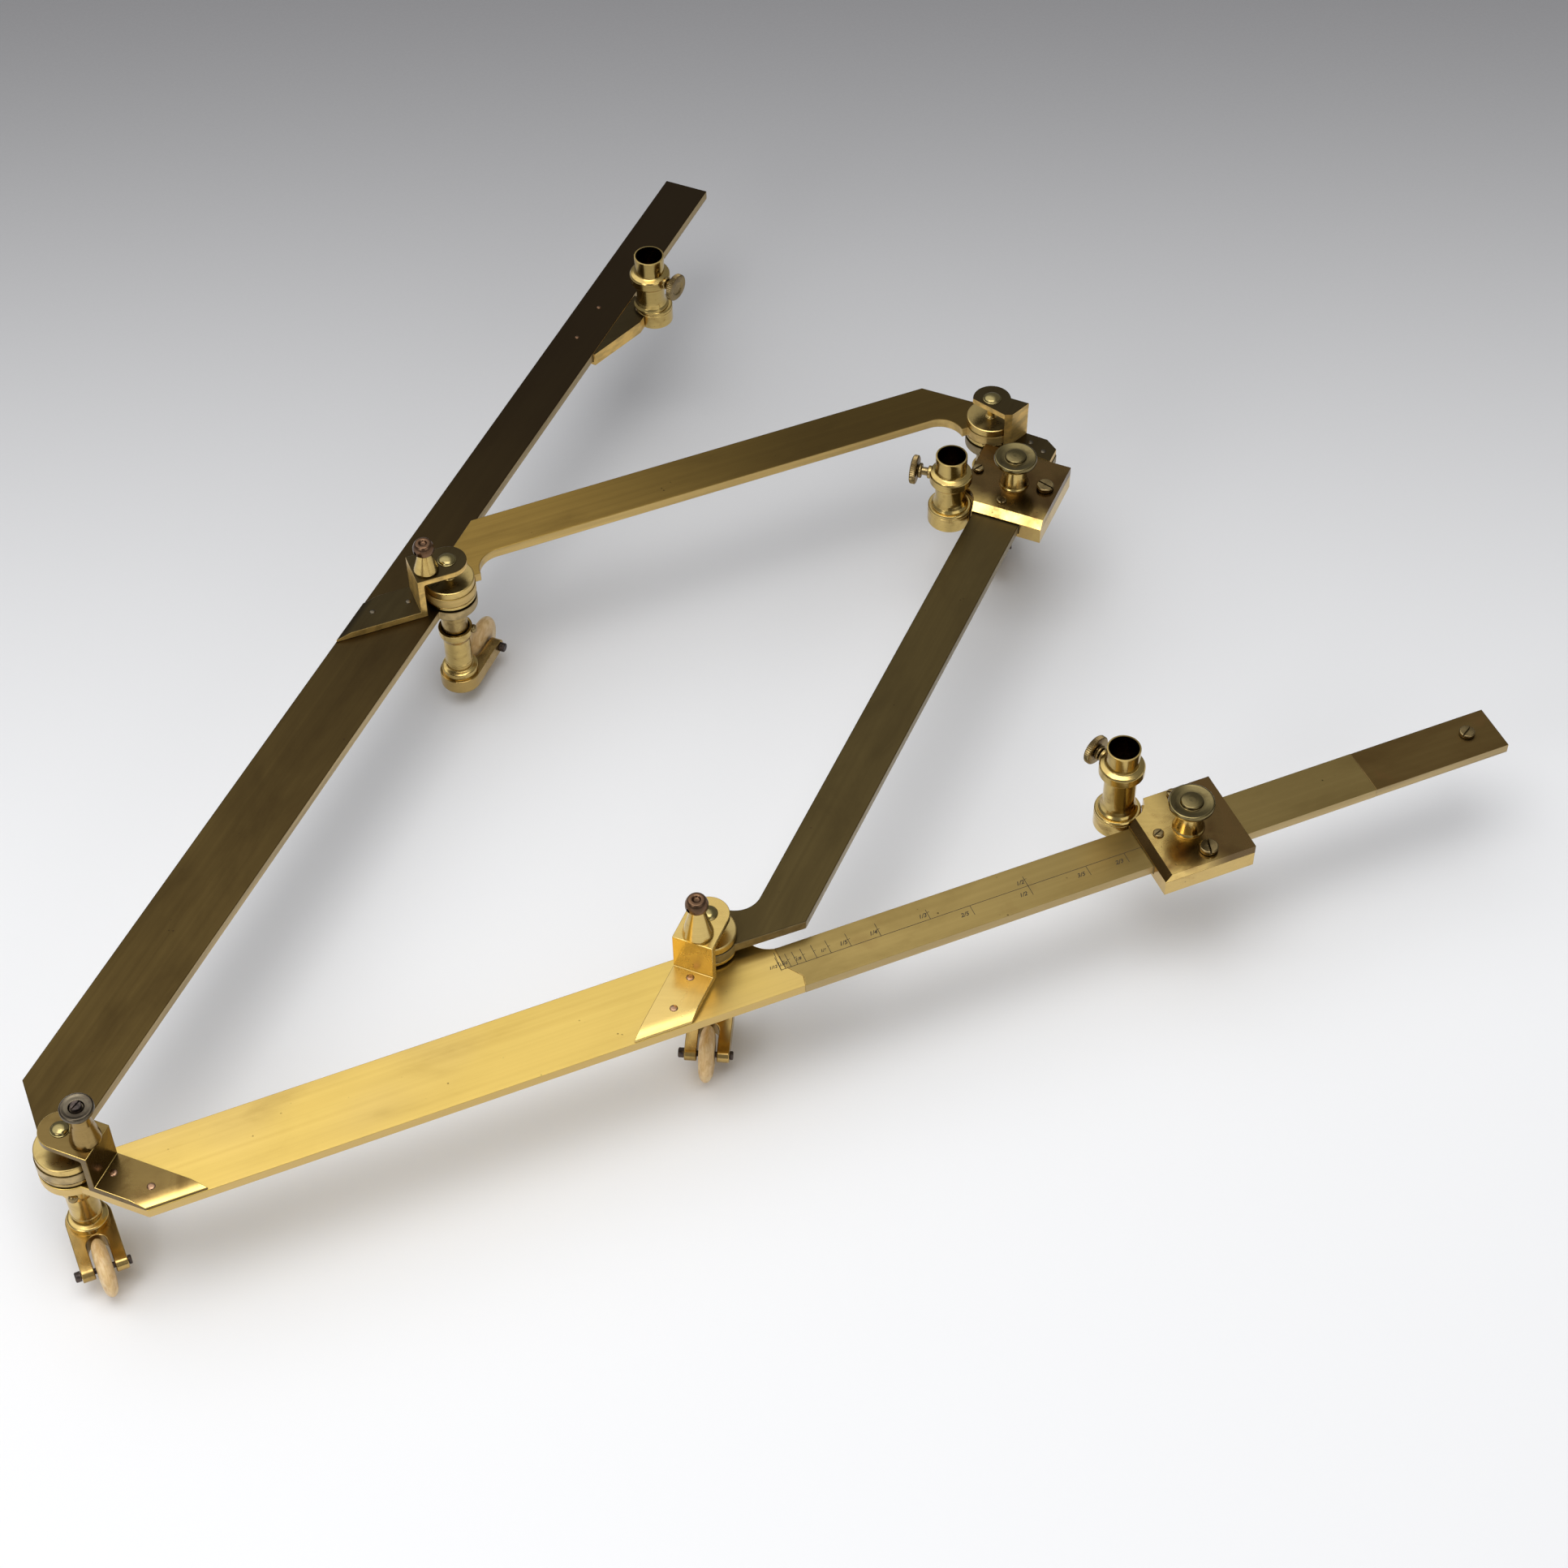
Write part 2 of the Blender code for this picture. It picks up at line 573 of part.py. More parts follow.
def castor_wheel(letter, frame):
    """Solid wheel with a rounded tread."""
    bore = AXLE_HOLE
    profile = [(bore, -WHEEL_HALF), (8.3, -WHEEL_HALF), (9.3, -2.2), (10.0, -1.2), (WHEEL_R, 0.0),
               (10.0, 1.2), (9.3, 2.2), (8.3, WHEEL_HALF), (bore, WHEEL_HALF)]
    wheel = moved(turned(profile, 20), TRAIL, 0.0, WHEEL_R, turn_x=90.0)
    spot = in_frame(frame, TRAIL, 0.0)
    place("castor_wheel_" + letter, wheel, "ivory", frame, (spot[0], spot[1], WHEEL_R))


def build_castors():
    seats = (("o", JOINT_O, TOP_B), ("q", JOINT_Q, TOP_B), ("p", JOINT_P, TOP_A),
             ("r", JOINT_R, TOP_A))
    for letter, joint, lower_top in seats:
        frame = (joint.x, joint.y, TRAIL_HEADINGS[letter])
        pivot = (joint.x, joint.y, 30.0)
        castor_stem(letter, joint, lower_top)
        castor_swivel(letter, frame, pivot)
        castor_set_screw(letter, frame, pivot)
        castor_axle(letter, frame, pivot)
        castor_wheel(letter, frame)


# ---------------------------------------------------------------- sockets and their screws
def socket_body(bar_top, disc_r, shift, heading):
    """Tube with a collar and a foot disc, open right through; a side hole takes the screw."""
    profile = [
        (0.0, bar_top - 5.0), (5.8, bar_top - 5.0), (5.8, bar_top + 1.4), (7.2, bar_top + 1.9),
        (7.0, bar_top + 2.3), (6.4, bar_top + 3.2), (6.0, bar_top + 4.8), (6.0, COLLAR_Z[0]),
        (7.9, COLLAR_Z[0]), (8.3, COLLAR_Z[0] + 0.8), (8.3, COLLAR_Z[1] - 0.9),
        (7.3, COLLAR_Z[1]), (6.15, COLLAR_Z[1]), (6.15, RIM_Z), (0.0, RIM_Z)]
    disc = turned([(0.0, bar_top - 6.2), (disc_r, bar_top - 6.2), (disc_r, bar_top + 1.3),
                   (disc_r - 0.4, bar_top + 1.7), (0.0, bar_top + 1.7)])
    body = joined(turned(profile), moved(disc, shift[0], shift[1]))
    boss = moved(rod(2.5, 4.0, 9.1, 12), z=THUMB_Z, turn_y=90.0)
    body = joined(body, moved(boss, turn_z=heading))
    body = cut(body, rod(BORE_R, bar_top - 20.0, RIM_Z + 10.0, STEPS_LARGE))
    hole = moved(rod(1.9, 3.0, 14.0, 12), z=THUMB_Z, turn_y=90.0)
    return cut(body, moved(hole, turn_z=heading))


def thumb_screw(reach):
    """Knurled screw along +X: tip just outside the bore, head centred at the given reach."""
    near = reach - 1.2
    far = reach + 1.2
    profile = [(0.0, 5.9), (1.6, 5.9), (1.6, near - 1.7), (3.0, near - 1.7), (3.0, near - 0.4),
               (2.4, near), (5.4, near), (5.7, near + 0.4), (5.7, far - 0.4), (5.4, far),
               (3.0, far), (2.5, far - 0.5), (0.0, far - 0.5)]
    return moved(turned(profile, 14), z=THUMB_Z, turn_y=90.0)


def build_socket(name, spot, bar_top, disc_r, shift, thumb):
    """Socket with its thumb screw; thumb is the screw's (heading, reach)."""
    heading = thumb[0]
    body = socket_body(bar_top, disc_r, shift, heading)
    pivot = (spot[0], spot[1], THUMB_Z)
    place(name + "_socket", body, "turned_brass", (spot[0], spot[1], 0.0), pivot)
    place(name + "_thumb_screw", thumb_screw(thumb[1]), "screw_brass", (spot[0], spot[1], heading), pivot)


# ---------------------------------------------------------------- sliders
def slotted_screw(spot, radius, low, seat, height, turn):
    """Screw standing in a plate: shank from low up to the seat, slotted head above it."""
    shank = min(1.0, radius - 0.6)
    profile = [(0.0, low), (shank, low), (shank, seat), (radius, seat),
               (radius, seat + height - 0.2), (radius - 0.3, seat + height), (0.0, seat + height)]
    screw = turned(profile, STEPS_SMALL)
    reach = radius + 1.0
    slot = prism([(-reach, -0.3), (reach, -0.3), (reach, 0.3), (-reach, 0.3)],
                 seat + height * 0.5, seat + height + 2.0)
    screw = cut(screw, moved(slot, turn_z=turn))
    return moved(screw, spot[0], spot[1])


def slider_plate(top, end):
    """Top plate with a bevelled reading edge, a threaded boss and a hollow round the socket."""
    low = top + PLATE_LOW
    high = top + PLATE_TOP
    section = [(-0.1, low), (end, low), (end, high), (2.2, high), (-0.1, low + 0.3)]
    body = along_y(section, PLATE_OUT, PLATE_IN)
    body = cut(body, rod(9.3, low - 5.0, high + 5.0, 40))
    boss = turned([(0.0, high - 1.0), (5.1, high - 1.0), (4.9, high + 0.6), (3.3, top + 14.0),
                   (0.0, top + 14.0)], STEPS_LARGE)
    body = joined(body, moved(boss, CLAMP_AT[0], CLAMP_AT[1]))
    body = cut(body, moved(rod(2.1, low - 5.0, top + 20.0), CLAMP_AT[0], CLAMP_AT[1]))
    for x, y in (SCREW_INDEX, SCREW_OUTER, SCREW_INNER):
        body = cut(body, moved(rod(1.3, low - 5.0, high + 5.0, 10), x, y))
    return body


def slider_channel(top, end):
    """Channel under the plate: two cheeks and a web that wrap the bar from below."""
    web = top + CHEEK_LOW
    section = [(PLATE_OUT, web), (PLATE_IN, web), (PLATE_IN, top + 0.3), (-9.35, top + 0.3),
               (-9.35, top - 4.3), (-29.0, top - 4.3), (-29.0, top + 0.3), (PLATE_OUT, top + 0.3)]
    body = along_x(section, 0.0, end)
    notch = prism([(CHEEK_IN_END, -9.6), (50.0, -9.6), (50.0, 0.0), (CHEEK_IN_END, 0.0)],
                  web - 3.0, top + 3.0)
    body = cut(body, notch)
    body = cut(body, rod(8.8, web - 3.0, top + 3.0, 40))
    for x, y in (SCREW_OUTER, SCREW_INNER):
        body = cut(body, moved(rod(1.3, top - 2.6, top + 3.0, 10), x, y))
    return body


def clamp_knob(top):
    """Dished clamp screw whose tip stops just above the bar."""
    profile = [(0.0, top + 0.3), (1.7, top + 0.3), (1.7, top + 14.3), (3.6, top + 14.3),
               (7.9, top + 15.5), (8.4, top + 16.3), (8.4, top + 17.5), (7.8, top + 18.4),
               (6.6, top + 18.1), (5.0, top + 16.9), (4.2, top + 17.3), (4.0, top + 18.4),
               (3.2, top + 18.9), (0.0, top + 18.9)]
    return moved(turned(profile, 20), CLAMP_AT[0], CLAMP_AT[1])


def build_slider(letter, bar, along, top, thumb):
    """One sliding head: plate, channel, screws, clamp, socket and thumb screw."""
    spot = in_frame(bar, along, 0.0)
    frame = (spot[0], spot[1], bar[2])
    pivot = (spot[0], spot[1], top)
    clamp = in_frame(frame, CLAMP_AT[0], CLAMP_AT[1])
    seat = top + PLATE_TOP + GAP
    end = PLATE_ENDS[letter]
    place("slider_plate_" + letter, slider_plate(top, end), "slider_brass", frame, pivot)
    place("slider_body_" + letter, slider_channel(top, end), "slider_brass", frame, pivot)
    place("clamp_knob_" + letter, clamp_knob(top), "turned_brass", frame,
          (clamp[0], clamp[1], top + 16.0))
    screws = (("index", slotted_screw(SCREW_INDEX, 2.0, top + 0.9, seat, 0.6, 20.0)),
              ("outer", slotted_screw(SCREW_OUTER, 3.4, top - 2.0, seat, 1.8, 75.0)),
              ("inner", slotted_screw(SCREW_INNER, 2.1, top - 2.0, seat, 1.2, -30.0)))
    for name, screw in screws:
        place("slider_screw_" + name + "_" + letter, screw, "screw_brass", frame, pivot)
    build_socket("slider_" + letter, spot, top, 8.5, (0.0, 0.0), thumb)


def build_tracer():
    """Fixed tracer head: a bracket riveted under bar A, its wedge flush with the bar's top."""
    spot = in_frame(FRAME_A, SOCKET_A, 0.0)
    high = TOP_A - BAR_T - GAP
    outline = [(421.5, 28.3), (421.5, 8.6), (447.0, 0.0), (457.5, 0.0), (461.5, 8.9), (461.5, 28.3)]
    plate = prism(outline, high - 1.4, TOP_A)
    step = prism([(400.0, 9.3), (480.0, 9.3), (480.0, 40.0), (400.0, 40.0)], high, TOP_A + 5.0)
    plate = cut(plate, step)
    plate = cut(plate, moved(rod(8.0, high - 9.0, high + 9.0, 40), SOCKET_A + 0.5, -1.1))
    place("tracer_bracket", plate, "bridge_brass", FRAME_A, (spot[0], spot[1], high))
    build_socket("tracer", spot, TOP_A, 7.5, (1.2, -0.5), THUMB_TRACER)


def build_stop():
    screw = slotted_screw(STOP_AT, 2.9, TOP_B - 3.0, TOP_B + GAP, 1.5, 30.0)
    spot = in_frame(FRAME_B, STOP_AT[0], STOP_AT[1])
    place("stop_screw_b", screw, "screw_brass", FRAME_B, (spot[0], spot[1], TOP_B))


clear_scene()
MATERIALS = make_materials()
build_bars()
build_joints()
build_castors()
build_slider("b", FRAME_B, SOCKET_B, TOP_B, THUMB_SLIDER_B)
build_slider("d", FRAME_D, SOCKET_D, TOP_A, THUMB_SLIDER_D)
build_tracer()
build_stop()
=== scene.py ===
"""Looks of the brass drafting pantograph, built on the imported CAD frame.

Lengths are millimetres, turned into metres where Blender needs them. Pieces stand where the
frame's joints and node boxes are, and their sizes repeat those of the solids.
"""

import json
import math

import bmesh
import bpy
from mathutils import Matrix, Vector


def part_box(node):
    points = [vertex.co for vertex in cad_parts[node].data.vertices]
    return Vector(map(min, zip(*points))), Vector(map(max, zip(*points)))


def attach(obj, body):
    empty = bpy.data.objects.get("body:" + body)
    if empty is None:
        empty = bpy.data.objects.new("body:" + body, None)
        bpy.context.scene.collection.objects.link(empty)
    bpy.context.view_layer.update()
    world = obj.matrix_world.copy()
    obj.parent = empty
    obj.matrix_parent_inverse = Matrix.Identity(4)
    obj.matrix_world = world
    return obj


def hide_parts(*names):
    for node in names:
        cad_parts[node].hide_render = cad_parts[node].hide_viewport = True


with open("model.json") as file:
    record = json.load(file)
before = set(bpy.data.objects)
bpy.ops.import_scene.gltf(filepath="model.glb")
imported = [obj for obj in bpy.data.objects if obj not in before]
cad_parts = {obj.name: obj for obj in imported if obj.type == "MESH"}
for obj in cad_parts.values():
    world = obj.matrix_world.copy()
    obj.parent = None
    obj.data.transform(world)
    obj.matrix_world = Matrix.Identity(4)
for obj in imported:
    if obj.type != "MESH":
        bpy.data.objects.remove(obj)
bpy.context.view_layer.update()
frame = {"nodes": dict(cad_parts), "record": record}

MM = 0.001
FINE = 72                 # sides of a turned piece

# ------------ places taken from the frame
JOINTS = {joint["name"]: joint for joint in frame["record"]["behaviour"]["joints"]}


def joint_at(name):
    """A joint's position in millimetres."""
    return Vector(JOINTS[name]["pos_m"]) * 1000.0


def joint_heading(name):
    """Heading of a joint's axis about Z, in degrees."""
    axis = JOINTS[name]["axis"]
    return math.degrees(math.atan2(axis[1], axis[0]))


def low(node):
    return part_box(node)[0] * 1000.0


def high(node):
    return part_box(node)[1] * 1000.0


def middle(node):
    return (low(node) + high(node)) * 0.5


JOINT_O = joint_at("o_hinge")
JOINT_Q = joint_at("q_hinge")
JOINT_P = joint_at("p_hinge")
JOINT_R = joint_at("swivel_r_spin")
LINK_OQ = (JOINT_Q - JOINT_O).xy.length
LINK_OP = (JOINT_P - JOINT_O).xy.length
TURN_A = math.degrees(math.atan2(JOINT_P.y - JOINT_O.y, JOINT_P.x - JOINT_O.x))
TOP_B = high("long_arm_b").z
TOP_A = high("long_arm_a").z
TOP_C = high("short_arm_c").z
END_B = high("long_arm_b").x - JOINT_O.x
FRAME_A = (JOINT_O.x, JOINT_O.y, TURN_A)
FRAME_B = (JOINT_O.x, JOINT_O.y, 0.0)
FRAME_C = (JOINT_P.x, JOINT_P.y, 0.0)
FRAME_D = (JOINT_Q.x, JOINT_Q.y, TURN_A)

# ------------ sizes shared with the solids
BAR_T = 4.0
OUTER = 28.7
WIDE = 0.1
NARROW = 9.65
LENGTH_A = 536.3
TAIL_START = 476.3        # where bar B turns brown near its end
EAR_O = 11.0
EAR = 9.9
NECK_X = 22.2
CUT = 10.3
SEAT = 5.6
GAP = 0.3
SEAM = 0.03               # what shows of the gap under a riveted foot
BOSS_SEAM = 0.12
BRIDGE_T = 2.4
BRIDGE_TOP = 18.7
BRIDGE_HALF = 7.5
BRIDGE_REACH = 14.0
RISER_T = 2.5
FOOT_T = 2.6
FOOT_REACH = 50.0
PLATE_OUT = -37.7
PLATE_IN = -1.9
PLATE_LOW = 0.6
PLATE_TOP = 4.2
CHEEK_LOW = -6.1
CHEEK_IN_END = 22.4
PLATE_ENDS = {"b": 35.6, "d": 34.4}
TRAIL = 18.9
WHEEL_R = 10.2
FORK_HALF = 8.0
FORK_LOW = 7.5            # the fork's underside and upper face over the floor
FORK_TOP = 13.5
STEM_R = 5.1
CUP_R = 5.5               # inside of the swivel's cup
PIN_R = 1.6
BORE_R = 5.5              # inside of a socket
TUBE_R = 5.85
THREAD_R = 2.0
CONE_TOP = 13.9           # upper end of the clamp's cone over the bar
MARK_Z = 0.02             # height of the engraving over the bar
SHARP = 34.0              # edges over this angle, in degrees, stay crisp
PAST = 60.0               # how far a cutting block runs past what it cuts
BAR_BEVEL = 0.25


def polar(radius, degrees, centre=(0.0, 0.0)):
    angle = math.radians(degrees)
    return (centre[0] + radius * math.cos(angle), centre[1] + radius * math.sin(angle))


def arc(centre, radius, start, end, steps):
    points = []
    for index in range(steps + 1):
        points.append(polar(radius, start + (end - start) * index / steps, centre))
    return points


def in_frame(spot, along, off):
    """Shared coordinates of a point given in a frame (x, y, heading)."""
    return polar(off, spot[2] + 90.0, polar(along, spot[2], spot[:2]))


# ------------ mesh helpers
def placed(name, data):
    """Add an object to the scene."""
    item = bpy.data.objects.new(name, data)
    bpy.context.scene.collection.objects.link(item)
    return item


def evaluated(item):
    graph = bpy.context.evaluated_depsgraph_get()
    return bpy.data.meshes.new_from_object(item.evaluated_get(graph))


def stored(bm, name):
    """Turn a bmesh into mesh data and free it."""
    mesh = bpy.data.meshes.new(name)
    bm.to_mesh(mesh)
    bm.free()
    return mesh


def spin(degrees, axis="Z"):
    return Matrix.Rotation(math.radians(degrees), 4, axis)


def spot_at(point, heading=0.0):
    return (point.x, point.y, heading)


def to_mesh(bm, name):
    bmesh.ops.remove_doubles(bm, verts=bm.verts, dist=1e-6)
    bmesh.ops.recalc_face_normals(bm, faces=bm.faces)
    return stored(bm, name)


def extruded(points, push):
    bm = bmesh.new()
    face = bm.faces.new([bm.verts.new([v * MM for v in point]) for point in points])
    grown = bmesh.ops.extrude_face_region(bm, geom=[face])
    top = [item for item in grown["geom"] if isinstance(item, bmesh.types.BMVert)]
    bmesh.ops.translate(bm, verts=top, vec=Vector([v * MM for v in push]))
    return to_mesh(bm, "extruded")


def prism(outline, bottom, top):
    return extruded([(x, y, bottom) for x, y in outline], (0.0, 0.0, top - bottom))


def along_x(section, start, end):
    return extruded([(start, y, z) for y, z in section], (end - start, 0.0, 0.0))


def along_y(section, start, end):
    return extruded([(x, start, z) for x, z in section], (0.0, end - start, 0.0))


def softened(profile, radius):
    """Profile with each inner corner rounded over a small length."""
    points = [profile[0]]
    for before, corner, after in zip(profile, profile[1:], profile[2:]):
        here = Vector(corner)
        back = Vector(before) - here
        ahead = Vector(after) - here
        reach = min(radius, 0.42 * back.length, 0.42 * ahead.length)
        start = here + back.normalized() * reach
        end = here + ahead.normalized() * reach
        for t in (0.0, 0.25, 0.5, 0.75, 1.0):
            bend = start * (1 - t) ** 2 + here * 2 * t * (1 - t) + end * t * t
            points.append((max(bend.x, 0.0), bend.y))
    points.append(profile[-1])
    return points


def ring_points(bm, radius, height, steps, knurl):
    """One ring of a turned piece; knurl is (teeth, depth) or None."""
    if radius < 1e-6:
        return [bm.verts.new((0.0, 0.0, height * MM))]
    ring = []
    for index in range(steps):
        angle = 2.0 * math.pi * index / steps
        size = radius
        if knurl:
            size -= knurl[1] * (0.5 - 0.5 * math.cos(knurl[0] * angle))
        ring.append(bm.verts.new((size * math.cos(angle) * MM, size * math.sin(angle) * MM,
            height * MM)))
    return ring


def bridge_rings(bm, first, second):
    count = max(len(first), len(second))
    for index in range(count):
        a = first[index % len(first)]
        b = first[(index + 1) % len(first)]
        c = second[(index + 1) % len(second)]
        d = second[index % len(second)]
        corners = [v for n, v in enumerate((a, b, c, d)) if v not in (a, b, c, d)[:n]]
        if len(corners) > 2:
            bm.faces.new(corners)


def turned(profile, soften=0.25, steps=FINE, knurl=None, grip=None, closed=False):
    """Solid of revolution about Z; grip gives the radius beyond which the knurl is cut."""
    points = softened(profile, soften) if soften else list(profile)
    bm = bmesh.new()
    rings = []
    for radius, height in points:
        teeth = knurl if knurl and grip and radius >= grip else None
        rings.append(ring_points(bm, radius, height, steps, teeth))
    for first, second in zip(rings, rings[1:]):
        bridge_rings(bm, first, second)
    if closed:
        bridge_rings(bm, rings[-1], rings[0])
    return to_mesh(bm, "turned")


def moved(mesh, x=0.0, y=0.0, z=0.0, turn_x=0.0, turn_y=0.0, turn_z=0.0):
    matrix = Matrix.Translation((x * MM, y * MM, z * MM))
    mesh.transform(matrix @ spin(turn_z) @ spin(turn_y, "Y") @ spin(turn_x, "X"))
    return mesh


def rod(radius, bottom, top, steps=FINE):
    return turned([(0.0, bottom), (radius, bottom), (radius, top), (0.0, top)], 0.0, steps)


def combine(mesh, tool, operation):
    """Exact boolean of two closed meshes; both inputs are used up."""
    target = placed("target", mesh)
    cutter = placed("cutter", tool)
    step = target.modifiers.new("step", "BOOLEAN")
    step.operation = operation
    step.solver = "EXACT"
    step.object = cutter
    result = evaluated(target)
    for item in (target, cutter):
        bpy.data.objects.remove(item, do_unlink=True)
    return result


def cut(mesh, tool):
    return combine(mesh, tool, "DIFFERENCE")


def kept(mesh, tool):
    return combine(mesh, tool, "INTERSECT")


def smooth(mesh):
    bm = bmesh.new()
    bm.from_mesh(mesh)
    bmesh.ops.remove_doubles(bm, verts=bm.verts, dist=2e-6)
    bmesh.ops.dissolve_degenerate(bm, edges=bm.edges, dist=1e-6)
    for face in bm.faces:
        face.smooth = True
    for edge in bm.edges:
        sharp = len(edge.link_faces) == 2 and edge.calc_face_angle() > math.radians(SHARP)
        edge.smooth = not sharp
    bm.to_mesh(mesh)
    bm.free()


def piece(name, mesh, material, body, node, spot, z=0.0, tilt=0.0, bevel=0.0, baked=False):
    """Add a visual piece whose mesh is local to a frame (x, y, heading) at height z.

    It stands for a CAD node, or for none. A baked piece has the heading turned into its mesh,
    which keeps a long bar's own box tight.
    """
    if baked:
        mesh = moved(mesh, turn_z=spot[2])
        spot = (*spot[:2], 0.0)
    smooth(mesh)
    mesh.name = name
    mesh.materials.clear()
    mesh.materials.append(material)
    item = placed(name, mesh)
    place = Matrix.Translation((spot[0] * MM, spot[1] * MM, z * MM))
    item.matrix_world = place @ spin(spot[2]) @ spin(tilt, "Y")
    if bevel:
        edge = item.modifiers.new("edge", "BEVEL")
        edge.width = bevel * MM
        edge.segments = 2
        edge.limit_method = "ANGLE"
        edge.angle_limit = math.radians(SHARP)
        edge.use_clamp_overlap = True
    normals = item.modifiers.new("normals", "WEIGHTED_NORMAL")
    normals.keep_sharp = True
    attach(item, body)
    if node:
        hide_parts(node)
    return item


# ------------ material helpers
class Nodes:
    """Small wrapper that adds and links the shader nodes of one material or world."""

    def __init__(self, name, family="materials"):
        self.owner = getattr(bpy.data, family).new(name)
        self.owner.use_nodes = True
        self.tree = self.owner.node_tree
        self.shader = self.tree.nodes.get("Principled BSDF")
        self.source = self.add("ShaderNodeTexCoord")
        self.coords = self.source.outputs["Object"]

    def add(self, kind, **settings):
        node = self.tree.nodes.new(kind)
        for key, value in settings.items():
            setattr(node, key, value)
        return node

    def feed(self, node, inputs):
        """Link or set a node's inputs; a colour is three numbers."""
        for key, value in inputs.items():
            socket = node.inputs[key]
            if isinstance(value, bpy.types.NodeSocket):
                self.tree.links.new(value, socket)
            elif socket.type == "RGBA":
                socket.default_value = (*value, 1.0)
            else:
                socket.default_value = value

    def made(self, kind, output, inputs, **settings):
        node = self.add(kind, **settings)
        self.feed(node, inputs)
        return node.outputs[output]

    def rotated(self, vector, turn):
        return self.made("ShaderNodeVectorRotate", "Vector", {"Vector": vector,
            "Angle": math.radians(turn)}, rotation_type="Z_AXIS")

    def scaled(self, scale, turn=0.0, vector=None):
        """Coordinates turned about Z and then stretched."""
        vector = vector or self.coords
        if turn:
            vector = self.rotated(vector, turn)
        return self.made("ShaderNodeMapping", "Vector", {"Vector": vector, "Scale": scale})

    def noise(self, vector, scale=1.0, detail=3.0, rough=0.55, warp=0.0):
        return self.made("ShaderNodeTexNoise", "Fac", {"Vector": vector, "Scale": scale,
            "Detail": detail, "Roughness": rough, "Distortion": warp})

    def ramp(self, value, start, end, first=0.0, last=1.0):
        """Smooth step of a value from start to end, giving first to last."""
        return self.made("ShaderNodeMapRange", "Result", {"Value": value, "From Min": start,
            "From Max": end, "To Min": first, "To Max": last}, interpolation_type="SMOOTHSTEP")

    def math(self, operation, first, second=0.0):
        return self.made("ShaderNodeMath", 0, {0: first, 1: second}, operation=operation)

    def mix(self, factor, first, second, blend="MIX"):
        return self.made("ShaderNodeMix", "Result", {"Factor": factor, "A": first, "B": second},
            data_type="RGBA", blend_type=blend)

    def axes(self, vector=None):
        node = self.add("ShaderNodeSeparateXYZ")
        self.feed(node, {0: vector or self.coords})
        return node.outputs

    def upward(self):
        """How much a face looks up: the Z of its normal."""
        return self.axes(self.source.outputs["Normal"])["Z"]

    def radius(self):
        """Distance from the Z axis."""
        axes = self.axes()
        return self.math("SQRT", self.math("ADD", self.math("MULTIPLY", axes["X"], axes["X"]),
            self.math("MULTIPLY", axes["Y"], axes["Y"])))

    def specks(self, scale, size, area, rarity, amount=1.0):
        """Small pits, kept only in the rare places where a wider noise is high."""
        cells = self.made("ShaderNodeTexVoronoi", "Distance", {"Vector": self.coords,
            "Scale": scale})
        return self.math("MULTIPLY", self.ramp(cells, *size, amount, 0.0),
            self.ramp(self.noise(self.coords, area, 2.0), *rarity))

    def bump(self, height, strength, distance, normal=None):
        inputs = {"Strength": strength, "Distance": distance, "Height": height}
        if normal is not None:
            inputs["Normal"] = normal
        return self.made("ShaderNodeBump", "Normal", inputs)

    def corner_shade_mask(self, distance=0.0025):
        """How deep a point lies in a corner, from ambient occlusion: 0 in the open, 1 deep in a
        corner; the materials paint shade with it.
        """
        occlusion = self.made("ShaderNodeAmbientOcclusion", "AO", {"Distance": distance}, samples=6)
        return self.math("SUBTRACT", 1.0, occlusion)

    def finish(self, colour, roughness, normal, metallic=1.0):
        self.feed(self.shader, {"Base Color": colour, "Roughness": roughness, "Metallic": metallic,
            "Normal": normal})
        return self.owner


